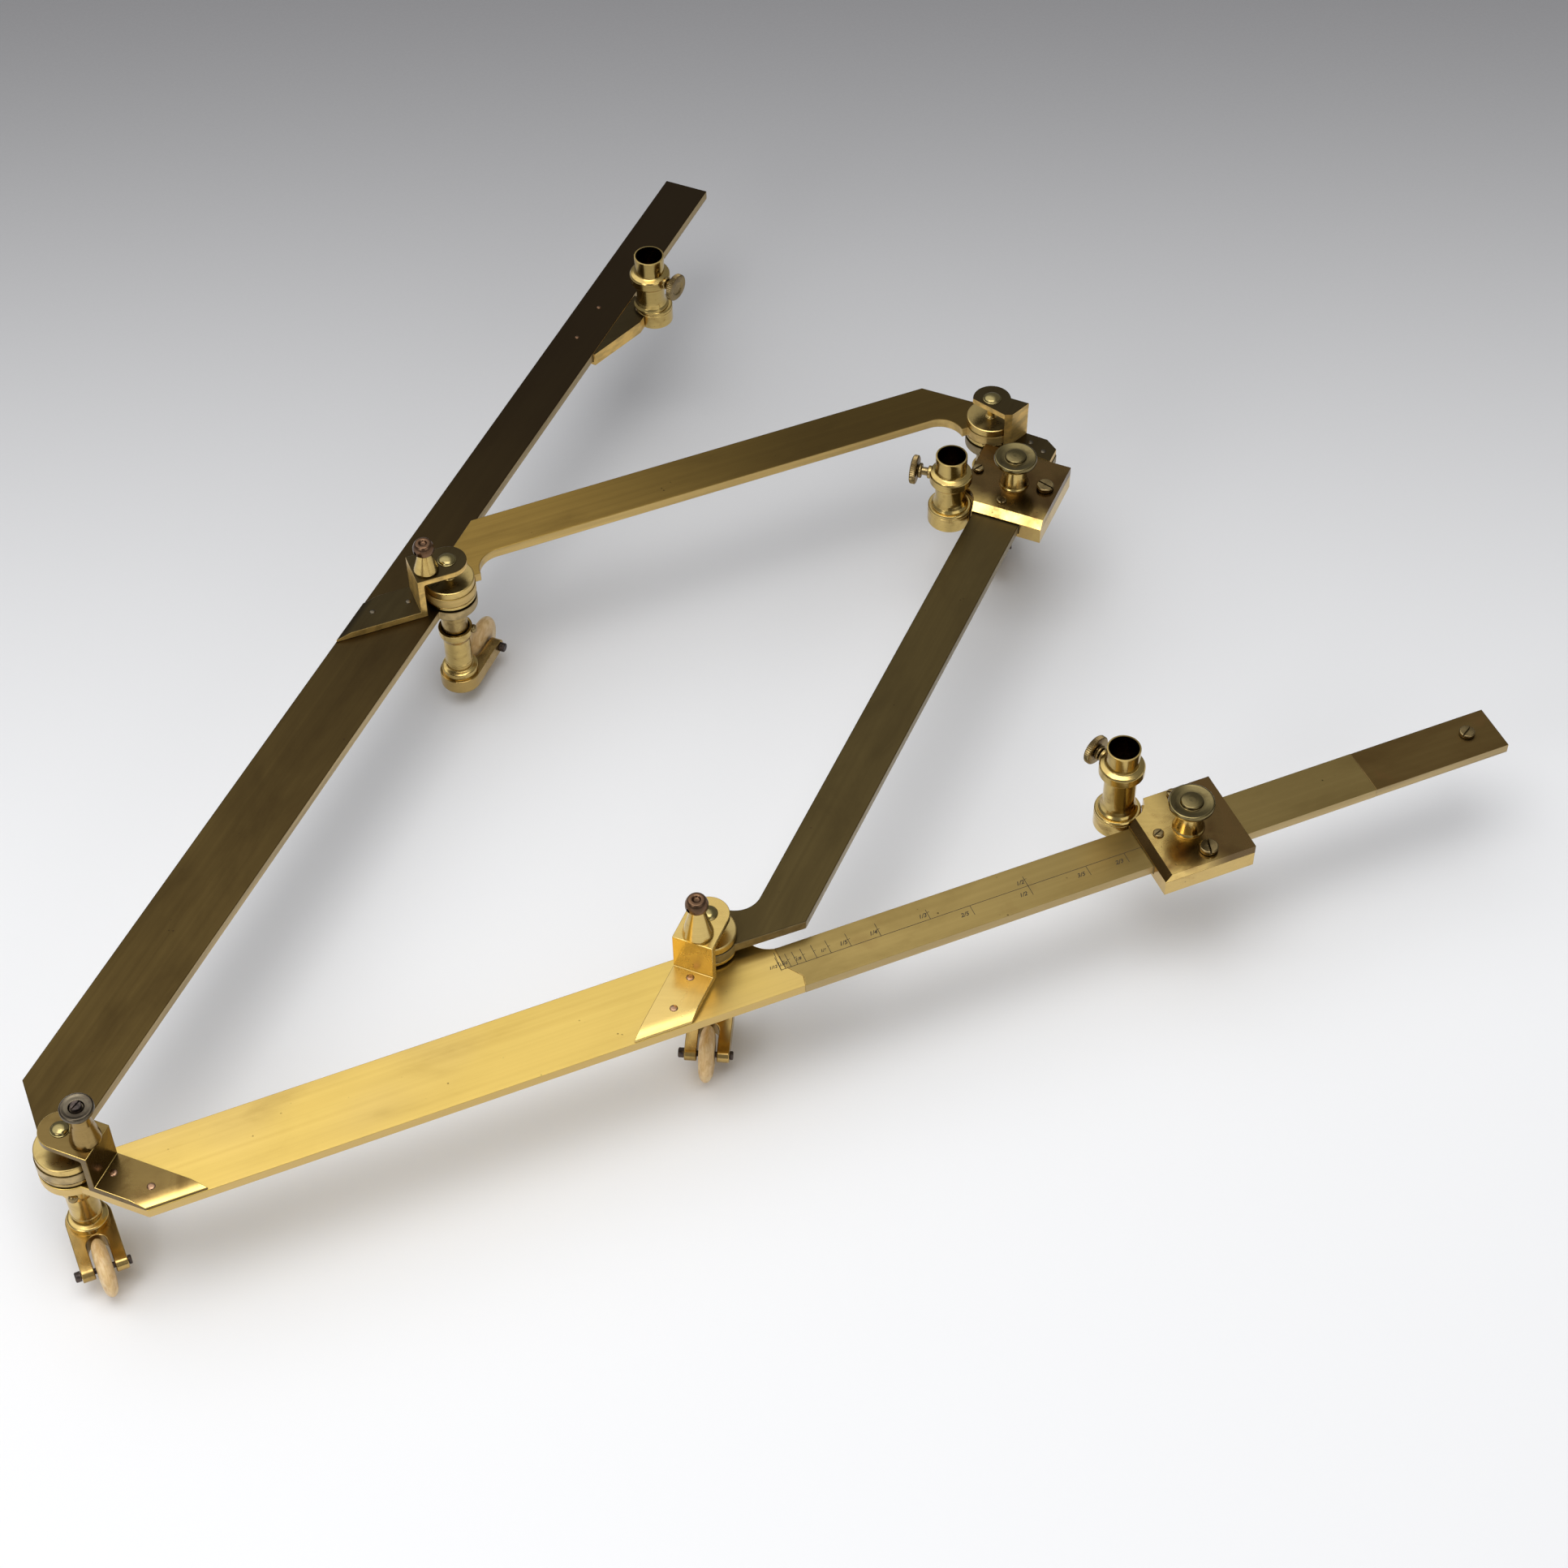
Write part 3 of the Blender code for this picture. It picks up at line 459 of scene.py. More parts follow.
def bar_material(name, bright, dull, side, patina, rough, brush=0.5, stain=0.0, bands=0.0,
        heading=0.0, painted_falloff=None):
    """Brass drawn and brushed along a heading, with a tarnish film, pits and scratches.

    The falloff is (start, end, amount), in millimetres: painted shade that darkens the bar along
    its length.
    """
    n = Nodes(name)
    n.coords = n.rotated(n.coords, -heading)
    streaks = n.noise(n.scaled((2.5, 420.0, 420.0)), 1.0, 4.0, 0.6)
    wide = n.noise(n.scaled((3.0, 90.0, 90.0)), 1.0, 3.0, 0.5)
    cloud = n.noise(n.scaled((22.0, 55.0, 55.0)), 1.0, 5.0, 0.6, 0.4)
    film = n.math("ADD", n.math("MULTIPLY", cloud, 0.75), n.math("MULTIPLY", wide, 0.35))
    tarnish = n.ramp(film, 0.72 - patina, 0.95 - patina * 0.6)
    colour = n.mix(tarnish, bright, dull)
    colour = n.mix(n.ramp(streaks, 0.25, 0.75, 0.0, brush), colour, dull)
    if bands:
        rise = n.ramp(n.noise(n.scaled((9.0, 14.0, 14.0)), 1.0, 2.0), 0.42, 0.62, 0.0, bands)
        colour = n.mix(rise, colour, (0.9, 0.72, 0.36), "SOFT_LIGHT")
    spots = n.specks(260.0, (0.05, 0.13), 95.0, (0.56, 0.66))
    colour = n.mix(n.math("MULTIPLY", spots, 0.75), colour, (0.04, 0.022, 0.012))
    scratch = n.noise(n.scaled((35.0, 900.0, 900.0), 11.0), 1.0, 1.0)
    lines = n.ramp(scratch, 0.70, 0.76)
    colour = n.mix(n.math("MULTIPLY", lines, 0.25), colour, bright)
    if stain:
        blot = n.ramp(n.noise(n.coords, 38.0, 4.0, 0.6, 0.6), 0.58, 0.70, 0.0, stain)
        colour = n.mix(blot, colour, (0.20, 0.085, 0.03))
    # Painted shade: the bar darkens along its length as its reflection falls off.
    if painted_falloff:
        deep = n.ramp(n.axes()["X"], painted_falloff[0] * MM, painted_falloff[1] * MM, 0.0, painted_falloff[2])
        colour = n.mix(deep, colour, (0.016, 0.010, 0.005))
    # Side faces take the side colour instead of the top's: painted light and shade for how the
    # sides catch the light.
    flat = n.ramp(n.math("ABSOLUTE", n.upward()), 0.35, 0.9)
    grain = n.ramp(n.noise(n.scaled((12.0, 300.0, 300.0)), 1.0, 4.0), 0.3, 0.7, 0.0, 0.45)
    colour = n.mix(flat, n.mix(grain, side, dull), colour)
    roughness = n.ramp(film, 0.4, 0.9, rough - 0.05, rough + 0.10)
    roughness = n.math("ADD", roughness, n.math("MULTIPLY", streaks, 0.08))
    normal = n.bump(streaks, 0.16, 0.00012)
    normal = n.bump(spots, 0.5, -0.00008, normal)
    along = n.made("ShaderNodeVectorTransform", 0, {0: (*polar(1.0, heading), 0.0)},
        vector_type="VECTOR", convert_from="OBJECT", convert_to="WORLD")
    n.feed(n.shader, {"Tangent": along, "Anisotropic": 0.65})
    return n.finish(colour, roughness, normal, n.ramp(flat, 0.0, 1.0, 0.6, 1.0))


def turned_material(name, bright, dull, rough, tarnish=0.5, rings=0.12, top_shade=None, bore_shade=0.0,
        stretch=0.5):
    """Lathe-turned metal: tool rings, tarnish clouds and painted shade in corners.

    The top tint paints shade on upward faces; the tint inside a tube paints shade in its hole.
    """
    n = Nodes(name)
    radius = n.radius()
    lathe = n.made("ShaderNodeCombineXYZ", 0, {0: radius, 2: n.axes()["Z"]})
    tool = n.noise(n.scaled((2600.0, 1.0, 2600.0), 0.0, lathe), 1.0, 3.0)
    cloud = n.noise(n.coords, 130.0, 5.0, 0.62, 0.5)
    film = n.ramp(cloud, 0.62 - tarnish * 0.3, 0.85 - tarnish * 0.25)
    colour = n.mix(film, bright, dull)
    colour = n.mix(n.ramp(tool, 0.3, 0.7, 0.0, 0.28), colour, dull)
    # Painted shade on upward faces: they take the given darker tone.
    if top_shade:
        colour = n.mix(n.ramp(n.upward(), 0.85, 0.97), colour, n.mix(film, top_shade, dull))
    # Painted shade: darker where a point lies deep in a corner.
    corner = n.ramp(n.corner_shade_mask(), 0.3, 0.9, 0.0, 0.6)
    colour = n.mix(corner, colour, (0.035, 0.02, 0.008))
    # Painted shade inside the tube's hole: darker within the given radius.
    if bore_shade:
        colour = n.mix(n.ramp(radius, bore_shade, bore_shade + 0.15 * MM, 0.88, 0.0), colour,
            (0.07, 0.042, 0.02))
    freckles = n.specks(520.0, (0.05, 0.16), 210.0, (0.5, 0.62), 0.45)
    colour = n.mix(freckles, colour, (0.06, 0.03, 0.015))
    roughness = n.ramp(cloud, 0.35, 0.8, rough - 0.06, rough + 0.12)
    normal = n.bump(tool, rings, 0.00008)
    normal = n.bump(cloud, 0.06, 0.0003, normal)
    tangent = n.made("ShaderNodeTangent", 0, {}, direction_type="RADIAL", axis="Z")
    n.feed(n.shader, {"Tangent": tangent, "Anisotropic": stretch})
    return n.finish(colour, roughness, normal)


def block_material(name, bright, dull, burnt, rough, patina=0.5, burn=0.5, shaded=None, slope_light=None):
    """Filed and handled brass block: gold where rubbed, brown where left alone.

    shaded is (start, end), in millimetres, of painted shade that darkens the block along local X;
    the slope colour is painted light on the sloping faces: a highlight where gold, shade where
    brown.
    """
    n = Nodes(name)
    cloud = n.noise(n.coords, 48.0, 5.0, 0.62, 0.8)
    film = n.ramp(cloud, 0.62 - patina * 0.35, 0.80 - patina * 0.25)
    colour = n.mix(film, bright, dull)
    heat = n.ramp(n.noise(n.coords, 30.0, 3.0, 0.5, 1.2), 0.50, 0.68, 0.0, burn)
    colour = n.mix(heat, colour, burnt)
    file_marks = n.noise(n.scaled((30.0, 520.0, 520.0), 24.0), 1.0, 3.0)
    colour = n.mix(n.ramp(file_marks, 0.3, 0.75, 0.0, 0.22), colour, dull)
    # Painted shade: the plate darkens along local X, away from the edge that catches the
    # reflection.
    if shaded:
        reach = n.math("ADD", n.axes()["X"], n.math("MULTIPLY", cloud, 0.012))
        dark = n.ramp(reach, shaded[0] * MM, shaded[1] * MM, 0.0, 0.93)
        brown = n.mix(cloud, (0.06, 0.032, 0.012), (0.13, 0.075, 0.028))
        colour = n.mix(dark, colour, brown)
    # Painted light on the sloping faces: the given colour, a highlight where gold, shade where
    # dark.
    if slope_light:
        facing = n.upward()
        slope = n.math("MULTIPLY", n.ramp(facing, 0.4, 0.55), n.ramp(facing, 0.93, 0.985, 1.0, 0.0))
        colour = n.mix(slope, colour, slope_light)
    # Painted shade: darker where a point lies deep in a corner.
    corner = n.ramp(n.corner_shade_mask(0.003), 0.3, 0.9, 0.0, 0.6)
    colour = n.mix(corner, colour, (0.04, 0.02, 0.008))
    spots = n.specks(300.0, (0.04, 0.12), 110.0, (0.55, 0.66))
    colour = n.mix(n.math("MULTIPLY", spots, 0.7), colour, (0.05, 0.025, 0.012))
    roughness = n.ramp(cloud, 0.35, 0.8, rough - 0.08, rough + 0.12)
    normal = n.bump(file_marks, 0.10, 0.0001)
    normal = n.bump(spots, 0.5, -0.00008, normal)
    return n.finish(colour, roughness, normal)


def ivory_material():
    """Worn ivory: fine concentric grain, yellowed edge and brown cracks."""
    n = Nodes("wheel_ivory")
    waves = n.noise(n.scaled((240.0, 240.0, 900.0)), 1.0, 4.0, 0.6, 0.5)
    colour = n.mix(n.ramp(waves, 0.35, 0.7), (0.80, 0.57, 0.28), (0.62, 0.38, 0.14))
    pale = n.noise(n.coords, 160.0, 3.0)
    colour = n.mix(n.ramp(pale, 0.5, 0.72, 0.0, 0.7), colour, (0.86, 0.69, 0.41))
    cracks = n.noise(n.scaled((620.0, 120.0, 120.0)), 1.0, 2.0)
    colour = n.mix(n.ramp(cracks, 0.70, 0.78, 0.0, 0.7), colour, (0.25, 0.12, 0.05))
    hub = n.ramp(n.radius(), 0.002, 0.0045, 0.6, 0.0)
    colour = n.mix(hub, colour, (0.20, 0.11, 0.05))
    n.feed(n.shader, {"Subsurface Weight": 0.12, "Subsurface Radius": (0.002, 0.0012, 0.0006)})
    normal = n.bump(waves, 0.12, 0.0002)
    return n.finish(colour, n.ramp(waves, 0.2, 0.8, 0.30, 0.46), normal, 0.0)


def steel_material():
    """Dark blued steel with rubbed specks."""
    n = Nodes("blued_steel")
    cloud = n.noise(n.coords, 420.0, 4.0)
    colour = n.mix(n.ramp(cloud, 0.35, 0.7), (0.035, 0.028, 0.026), (0.16, 0.12, 0.10))
    normal = n.bump(n.noise(n.coords, 1400.0, 3.0), 0.15, 0.0001)
    return n.finish(colour, n.ramp(cloud, 0.3, 0.7, 0.35, 0.6), normal, 0.9)


def ink_material():
    """Wax left in the engraved lines."""
    n = Nodes("engraving")
    grain = n.noise(n.coords, 900.0, 3.0)
    colour = n.mix(n.ramp(grain, 0.35, 0.65), (0.028, 0.018, 0.009), (0.075, 0.052, 0.024))
    return n.finish(colour, n.ramp(grain, 0.3, 0.7, 0.45, 0.7), n.bump(grain, 0.2, 0.0001), 0.3)


GOLD = (0.75, 0.53, 0.165)
GOLD_DULL = (0.60, 0.41, 0.12)
# Side-face tones for the bars: painted light and shade, set apart from the tops.
GOLD_PAINTED_SIDE = (0.66, 0.46, 0.16)
TAN_PAINTED_SIDE = (0.52, 0.38, 0.17)

# Bars A, C and the scale part of B darken along their length: painted shade.
M_BAR_B = bar_material("bar_b_bright", GOLD, GOLD_DULL, GOLD_PAINTED_SIDE, 0.12, 0.30, 0.4, 0.0, 0.35)
M_BAR_B_SCALE = bar_material("bar_b_olive", (0.47, 0.335, 0.115), (0.33, 0.23, 0.075), TAN_PAINTED_SIDE,
    0.25, 0.36, 0.35, 0.12, painted_falloff=(270.0, 460.0, 0.5))
M_BAR_B_END = bar_material("bar_b_dark", (0.155, 0.10, 0.033), (0.10, 0.06, 0.019), TAN_PAINTED_SIDE, 0.3,
    0.36, 0.4, 0.2)
M_BAR_A = bar_material("bar_a_dark", (0.105, 0.069, 0.022), (0.062, 0.039, 0.013), TAN_PAINTED_SIDE, 0.3,
    0.33, 0.5, heading=TURN_A, painted_falloff=(40.0, 430.0, 0.88))
M_BAR_C = bar_material("bar_c_olive", (0.37, 0.235, 0.057), (0.25, 0.155, 0.038), GOLD_PAINTED_SIDE, 0.25,
    0.32, 0.5, painted_falloff=(10.0, 170.0, 0.74))
M_BAR_D = bar_material("bar_d_dark", (0.096, 0.068, 0.025), (0.060, 0.042, 0.016),
    (0.34, 0.26, 0.13), 0.3, 0.34, 0.5, heading=TURN_A)
M_TURNED = turned_material("turned_brass", (0.66, 0.48, 0.17), (0.40, 0.27, 0.09), 0.22)
# Sockets get painted shade inside their holes.
M_TUBE = turned_material("tube_brass", (0.60, 0.44, 0.155), (0.38, 0.26, 0.085), 0.20,
    bore_shade=(BORE_R + 0.05) * MM)
# The boss's flat tops get a darker tone: painted shade.
M_BOSS = turned_material("boss_brass", (0.70, 0.50, 0.175), (0.42, 0.30, 0.11), 0.32, 0.4,
    top_shade=(0.50, 0.37, 0.14), stretch=0.0)
M_POST_O = turned_material("post_o_brass", (0.34, 0.23, 0.085), (0.18, 0.115, 0.04), 0.24, 0.6)
M_TURNED_OLD = turned_material("turned_old_brass", (0.50, 0.36, 0.14), (0.24, 0.16, 0.06), 0.26,
    0.7)
M_RIVET = turned_material("rivet_reddish", (0.42, 0.25, 0.15), (0.22, 0.12, 0.07), 0.30, 0.5, 0.05)
M_REDDISH = turned_material("turned_reddish", (0.20, 0.11, 0.06), (0.10, 0.06, 0.035), 0.27, 0.7,
    0.05)
M_OXIDE = turned_material("oxidised_head", (0.15, 0.125, 0.085), (0.07, 0.054, 0.038), 0.30, 0.7,
    0.05)
M_DOME = turned_material("dome_brass", (0.36, 0.29, 0.12), (0.17, 0.125, 0.05), 0.20, 0.5, 0.03)
M_SCREW = turned_material("screw_heads", (0.34, 0.25, 0.11), (0.16, 0.11, 0.05), 0.28, 0.7, 0.08)
M_CLAMP = turned_material("clamp_brass", (0.21, 0.165, 0.07), (0.12, 0.088, 0.036), 0.22, 0.5, 0.03)
M_BRIDGE = block_material("bridge_brass", (0.66, 0.47, 0.155), (0.52, 0.355, 0.105),
    (0.36, 0.22, 0.07), 0.30, 0.25, 0.25)
# Bridge O's bevelled edges are painted gold: a painted highlight.
M_BRIDGE_BROWN = block_material("bridge_brown", (0.18, 0.12, 0.04), (0.12, 0.075, 0.024),
    (0.10, 0.055, 0.02), 0.28, 0.5, 0.4, slope_light=GOLD)
M_BRIDGE_DARK = bar_material("bridge_dark", (0.058, 0.042, 0.017), (0.034, 0.023, 0.009),
    (0.86, 0.56, 0.16), 0.3, 0.30, 0.4)
M_FORK = block_material("fork_brass", (0.54, 0.37, 0.13), (0.32, 0.21, 0.07), (0.26, 0.14, 0.05),
    0.28, 0.4, 0.35)
# Per slider: where painted shade darkens the plate, and the colour painted on the sloping reading
# edge (painted shade on slider B).
SLIDER_LOOKS = {"b": ((14.0, 32.0), (0.15, 0.088, 0.028)), "d": ((6.0, 17.0), None)}
M_SLIDER = {}
for side, (shade_span, edge) in SLIDER_LOOKS.items():
    M_SLIDER[side] = block_material("slider_brass_" + side, (0.86, 0.61, 0.20), (0.58, 0.38, 0.12),
        (0.22, 0.10, 0.03), 0.24, 0.3, 0.75, shade_span, edge)
M_CHANNEL = block_material("slider_channel", (0.66, 0.47, 0.17), (0.44, 0.29, 0.10),
    (0.26, 0.13, 0.045), 0.26, 0.4, 0.35)
M_IVORY = ivory_material()
M_STEEL = steel_material()
M_INK = ink_material()


# ------------ bars
def mirrored(outline):
    return [(x, -y) for x, y in outline]


def near_end(radius):
    """Outer corner, 45 degree cut and joint disc at a bar's first pivot."""
    half = (-2.0 * CUT + math.sqrt(8.0 * radius * radius - 4.0 * CUT * CUT)) / 4.0
    start = math.degrees(math.atan2(half + CUT, half))
    return [(OUTER - CUT, OUTER)] + arc((0.0, 0.0), radius, start, 360.0, 48)


def neck_out(pivot_x):
    return arc((pivot_x + NECK_X, 0.0), NARROW, 180.0, 90.0, 20)


def neck_in(pivot_x):
    return arc((pivot_x - NECK_X, 0.0), NARROW, 90.0, 0.0, 20)


def long_outline(middle_x, length):
    """Outline of a long bar: wide up to the middle pivot, narrow beyond it."""
    outline = near_end(EAR_O)
    outline += [(EAR_O + 0.4, WIDE), (middle_x - EAR - 0.4, WIDE)]
    outline += arc((middle_x, 0.0), EAR, 180.0, 360.0, 40)
    outline += neck_out(middle_x)
    return outline + [(length, NARROW), (length, OUTER)]


def outline_c():
    outline = near_end(EAR) + neck_out(0.0) + neck_in(LINK_OQ)
    outline += arc((LINK_OQ, 0.0), EAR, 180.0, 440.0, 60)
    return outline + [(LINK_OQ - 17.0, OUTER)]


def outline_d():
    outline = near_end(EAR) + neck_out(0.0) + neck_in(LINK_OP)
    outline += arc((LINK_OP, 0.0), EAR, 180.0, 435.0, 60)
    return outline + [(LINK_OP + 2.5, 23.3), (LINK_OP - 1.4, OUTER)]


def ear_disc(name, pivot, top, radius, material, body):
    """The thickened joint disc under an upper bar, with a groove at the seam."""
    profile = [(5.0, top - SEAT), (radius - 0.1, top - SEAT), (radius - 0.1, top - BAR_T - 0.35),
        (radius - 0.5, top - BAR_T - 0.2), (radius - 0.5, top - BAR_T + 0.2),
        (5.0, top - BAR_T + 0.2)]
    piece(name, turned(profile, 0.12), material, body, None, spot_at(pivot))


def block(outline):
    """Cutting block through the whole thickness of a bar."""
    return prism(outline, -BAR_T - 2.0, 2.0)


def strip(name, mesh, material, body, node, spot, top, baked=False):
    piece(name, mesh, material, body, node, spot, top, bevel=BAR_BEVEL, baked=baked)


def build_bars():
    step = LINK_OQ + 22.5
    shoulder = [(step - 6.0, -PAST), (step + 600.0, -PAST), (step + 600.0, PAST),
        (step - 3.5, PAST), (step - 1.8, -18.0), (step + 2.6, -24.5)]
    far = [(TAIL_START, -PAST), (TAIL_START + 120.0, -PAST), (TAIL_START + 120.0, PAST),
        (TAIL_START, PAST)]
    whole = prism(mirrored(long_outline(LINK_OQ, END_B)), -BAR_T, 0.0)
    near = cut(whole.copy(), block(shoulder))
    rest = kept(whole, block(shoulder))
    scale = cut(rest.copy(), block(far))
    tail = kept(rest, block(far))
    strip("bar_b_link", near, M_BAR_B, "bar_b", "long_arm_b", FRAME_B, TOP_B)
    strip("bar_b_scale", scale, M_BAR_B_SCALE, "bar_b", None, FRAME_B, TOP_B)
    strip("bar_b_tail", tail, M_BAR_B_END, "bar_b", None, FRAME_B, TOP_B)
    strip("bar_a_strip", prism(long_outline(LINK_OP, LENGTH_A), -BAR_T, 0.0), M_BAR_A, "bar_a",
        "long_arm_a", FRAME_A, TOP_A, True)
    strip("bar_c_strip", prism(outline_c(), -BAR_T, 0.0), M_BAR_C, "bar_c",
        "short_arm_c", FRAME_C, TOP_C)
    strip("bar_d_strip", prism(mirrored(outline_d()), -BAR_T, 0.0), M_BAR_D, "bar_d",
        "short_arm_d", FRAME_D, TOP_A, True)
    ear_disc("bar_a_disc_o", JOINT_O, TOP_A, EAR_O, M_TURNED_OLD, "bar_a")
    ear_disc("bar_c_disc_p", JOINT_P, TOP_C, EAR, M_TURNED, "bar_c")
    ear_disc("bar_c_disc_r", JOINT_R, TOP_C, EAR, M_TURNED, "bar_c")
    ear_disc("bar_d_disc_q", JOINT_Q, TOP_A, EAR, M_TURNED, "bar_d")


# ------------ engraved scale on bar B
def stroke(bm, start, end, width):
    """Flat stroke between two points of bar B's frame, just over the surface."""
    a = Vector(start)
    b = Vector(end)
    side = (b - a).normalized().orthogonal() * width * 0.5
    corners = (a + side, b + side, b - side, a - side)
    bm.faces.new([bm.verts.new((p.x * MM, p.y * MM, MARK_Z * MM)) for p in corners])


def numeral(text, along, off, size):
    """Small italic figure lying on bar B, returned as a mesh in the bar's frame."""
    curve = bpy.data.curves.new("figure", "FONT")
    curve.body = text
    curve.size = size * MM
    curve.offset = 0.05 * MM
    curve.shear = 0.35
    curve.align_x = "CENTER"
    holder = placed("figure", curve)
    mesh = evaluated(holder)
    bpy.data.objects.remove(holder, do_unlink=True)
    return moved(mesh, along, off, MARK_Z)


def build_scale():
    """Ratio marks at one link length over k beyond Q, as on the instrument's own rule."""
    bm = bmesh.new()
    line = -19.2
    stroke(bm, (LINK_OQ + 19.2, line), (LINK_OQ + 172.0, line + 0.1), 0.22)
    stroke(bm, (LINK_OQ + 19.5, -11.2), (LINK_OQ + 19.0, line), 0.20)
    figures = []
    for k in range(2, 13):
        along = LINK_OQ + LINK_OQ / k
        stroke(bm, (along, -13.2 if k > 3 else -14.6), (along, line), 0.22)
        stroke(bm, (along - 0.2, -16.1), (along + 0.9, -15.9), 0.18)
        if k < 6 or k % 2 == 0:
            figures.append(numeral("1/%d" % k, along - 2.2, -17.6, 2.4 if k < 6 else 1.7))
    for top, bottom in ((2, 5), (1, 2), (3, 5), (2, 3)):
        along = LINK_OQ + LINK_OQ * top / bottom
        stroke(bm, (along, line), (along, line - 4.3), 0.22)
        figures.append(numeral("%d/%d" % (top, bottom), along - 3.4, line - 3.6, 2.4))
    for figure in figures:
        bm.from_mesh(figure)
    piece("bar_b_engraving", stored(bm, "scale_marks"), M_INK, "bar_b", None, FRAME_B,
        TOP_B)


# ------------ pivots, bridges and posts
def rivet(name, spot, z, material, body, radius=1.15):
    profile = [(0.0, -0.3), (radius, -0.3), (radius, 0.05), (radius * 0.8, 0.28),
        (radius * 0.4, 0.38), (0.0, 0.4)]
    piece(name, turned(profile, 0.1, 32), material, body, None, (*spot, 0.0), z)


def build_pivot(letter, joint, upper_top, ring_r, body):
    """Boss on the upper bar and its pin, which runs up into the bridge."""
    lower_top = upper_top - (TOP_C - TOP_A)
    pin_top = lower_top + BRIDGE_TOP - BRIDGE_T + 1.2
    edge = upper_top + BOSS_SEAM
    profile = [(0.0, lower_top - 2.0), (PIN_R, lower_top - 2.0), (PIN_R, lower_top + GAP),
        (4.0, lower_top + GAP), (4.0, edge), (ring_r, edge), (ring_r, edge + 2.7),
        (ring_r - 0.35, edge + 2.95), (2.3, edge + 2.95), (2.1, edge + 3.4), (PIN_R, edge + 3.7),
        (PIN_R, pin_top), (0.0, pin_top)]
    piece("boss_" + letter, turned(profile, 0.12), M_BOSS, body,
        "pivot_boss_" + letter, spot_at(joint))


def build_dome(letter, joint, radius, body):
    """Domed pivot screw over a bridge."""
    top = high("bridge_" + letter).z
    profile = [(0.0, -0.4), (PIN_R, -0.4), (PIN_R, 0.0), (radius + 0.3, 0.0), (radius + 0.3, 0.25),
        (radius, 0.35)]
    for index in range(1, 9):
        angle = math.radians(90.0 * index / 8)
        profile.append((radius * math.cos(angle), 0.35 + 1.25 * math.sin(angle)))
    profile[-1] = (0.0, 1.6)
    piece("dome_" + letter, turned(profile, 0.08), M_DOME, body,
        "pivot_screw_" + letter, spot_at(joint), top)


def bridge_mesh(turn, side):
    """Stepped strip with its foot running out along a heading; heights from the bar's face."""
    top = BRIDGE_TOP
    inner = BRIDGE_REACH - RISER_T
    foot = GAP + FOOT_T
    section = [(-9.0, top - BRIDGE_T), (inner - 0.5, top - BRIDGE_T), (inner, top - BRIDGE_T - 0.5),
        (inner, SEAM), (FOOT_REACH, SEAM), (FOOT_REACH, foot), (BRIDGE_REACH, foot),
        (BRIDGE_REACH, top), (-9.0, top)]
    body = along_y(section, -12.0, 12.0)
    outline = [(FOOT_REACH, -BRIDGE_HALF), (FOOT_REACH, BRIDGE_HALF)]
    outline += arc((0.0, 0.0), BRIDGE_HALF, 90.0, 270.0, 48)
    body = kept(body, prism(outline, -5.0, top + 5.0))
    body = moved(body, turn_z=turn)
    far = OUTER - 0.3
    trim = [(-20.0 * side, -1.0), (far * side, -1.0), (far * side, 1.1), (24.2 * side, foot),
        (24.2 * side, 30.0), (-20.0 * side, 30.0)]
    return kept(body, along_x(trim, -PAST, PAST))


def build_bridge(letter, spot, along, bar_top, turn, side, material, body):
    mesh = bridge_mesh(turn, side)
    x, y = in_frame(spot, along, 0.0)
    piece("bridge_strip_" + letter, mesh, material, body, "bridge_" + letter,
        (x, y, spot[2]), bar_top, bevel=0.22)
    for number, reach in ((1, 16.8), (2, 31.0)):
        at = polar(reach, turn)
        place = in_frame(spot, along + at[0], at[1])
        head = (M_OXIDE, body) if letter == "p" else (M_RIVET, body, 1.45)
        rivet("bridge_rivet_%s_%d" % (letter, number), place, bar_top + GAP + FOOT_T, *head)


def build_bridge_r():
    """Bridge on the square end of bar D, cut back to clear the slider."""
    top = BRIDGE_TOP
    plate = arc((0.0, 0.0), BRIDGE_HALF, -65.6, 113.0, 48)
    plate += [(-7.0, -8.0), (-5.7, -10.8), (3.0, -14.4)]
    riser = [(-6.95, -8.05), (-5.65, -10.7), (2.95, -14.3), (2.95, -12.5), (-5.0, -9.2),
        (-6.6, -8.0)]
    foot = [(-7.0, -8.1), (-6.65, -7.95), (-5.0, -9.15), (3.0, -12.45), (2.4, -23.2), (-1.5, -28.4),
        (-8.8, -28.4)]
    spot = (JOINT_R.x, JOINT_R.y, TURN_A)
    body = combine(prism(plate, top - BRIDGE_T, top), prism(riser, GAP + 1.0, top - 1.0), "UNION")
    body = combine(body, prism(foot, SEAM, GAP + FOOT_T), "UNION")
    piece("bridge_strip_r", body, M_BRIDGE_DARK, "bar_d", "bridge_r", spot, TOP_A,
        bevel=0.22)
    for number, at in ((1, (-1.6, -17.6)), (2, (-4.6, -24.0))):
        rivet("bridge_rivet_r_%d" % number, in_frame(spot, *at), TOP_A + GAP + FOOT_T, M_OXIDE,
            "bar_d")


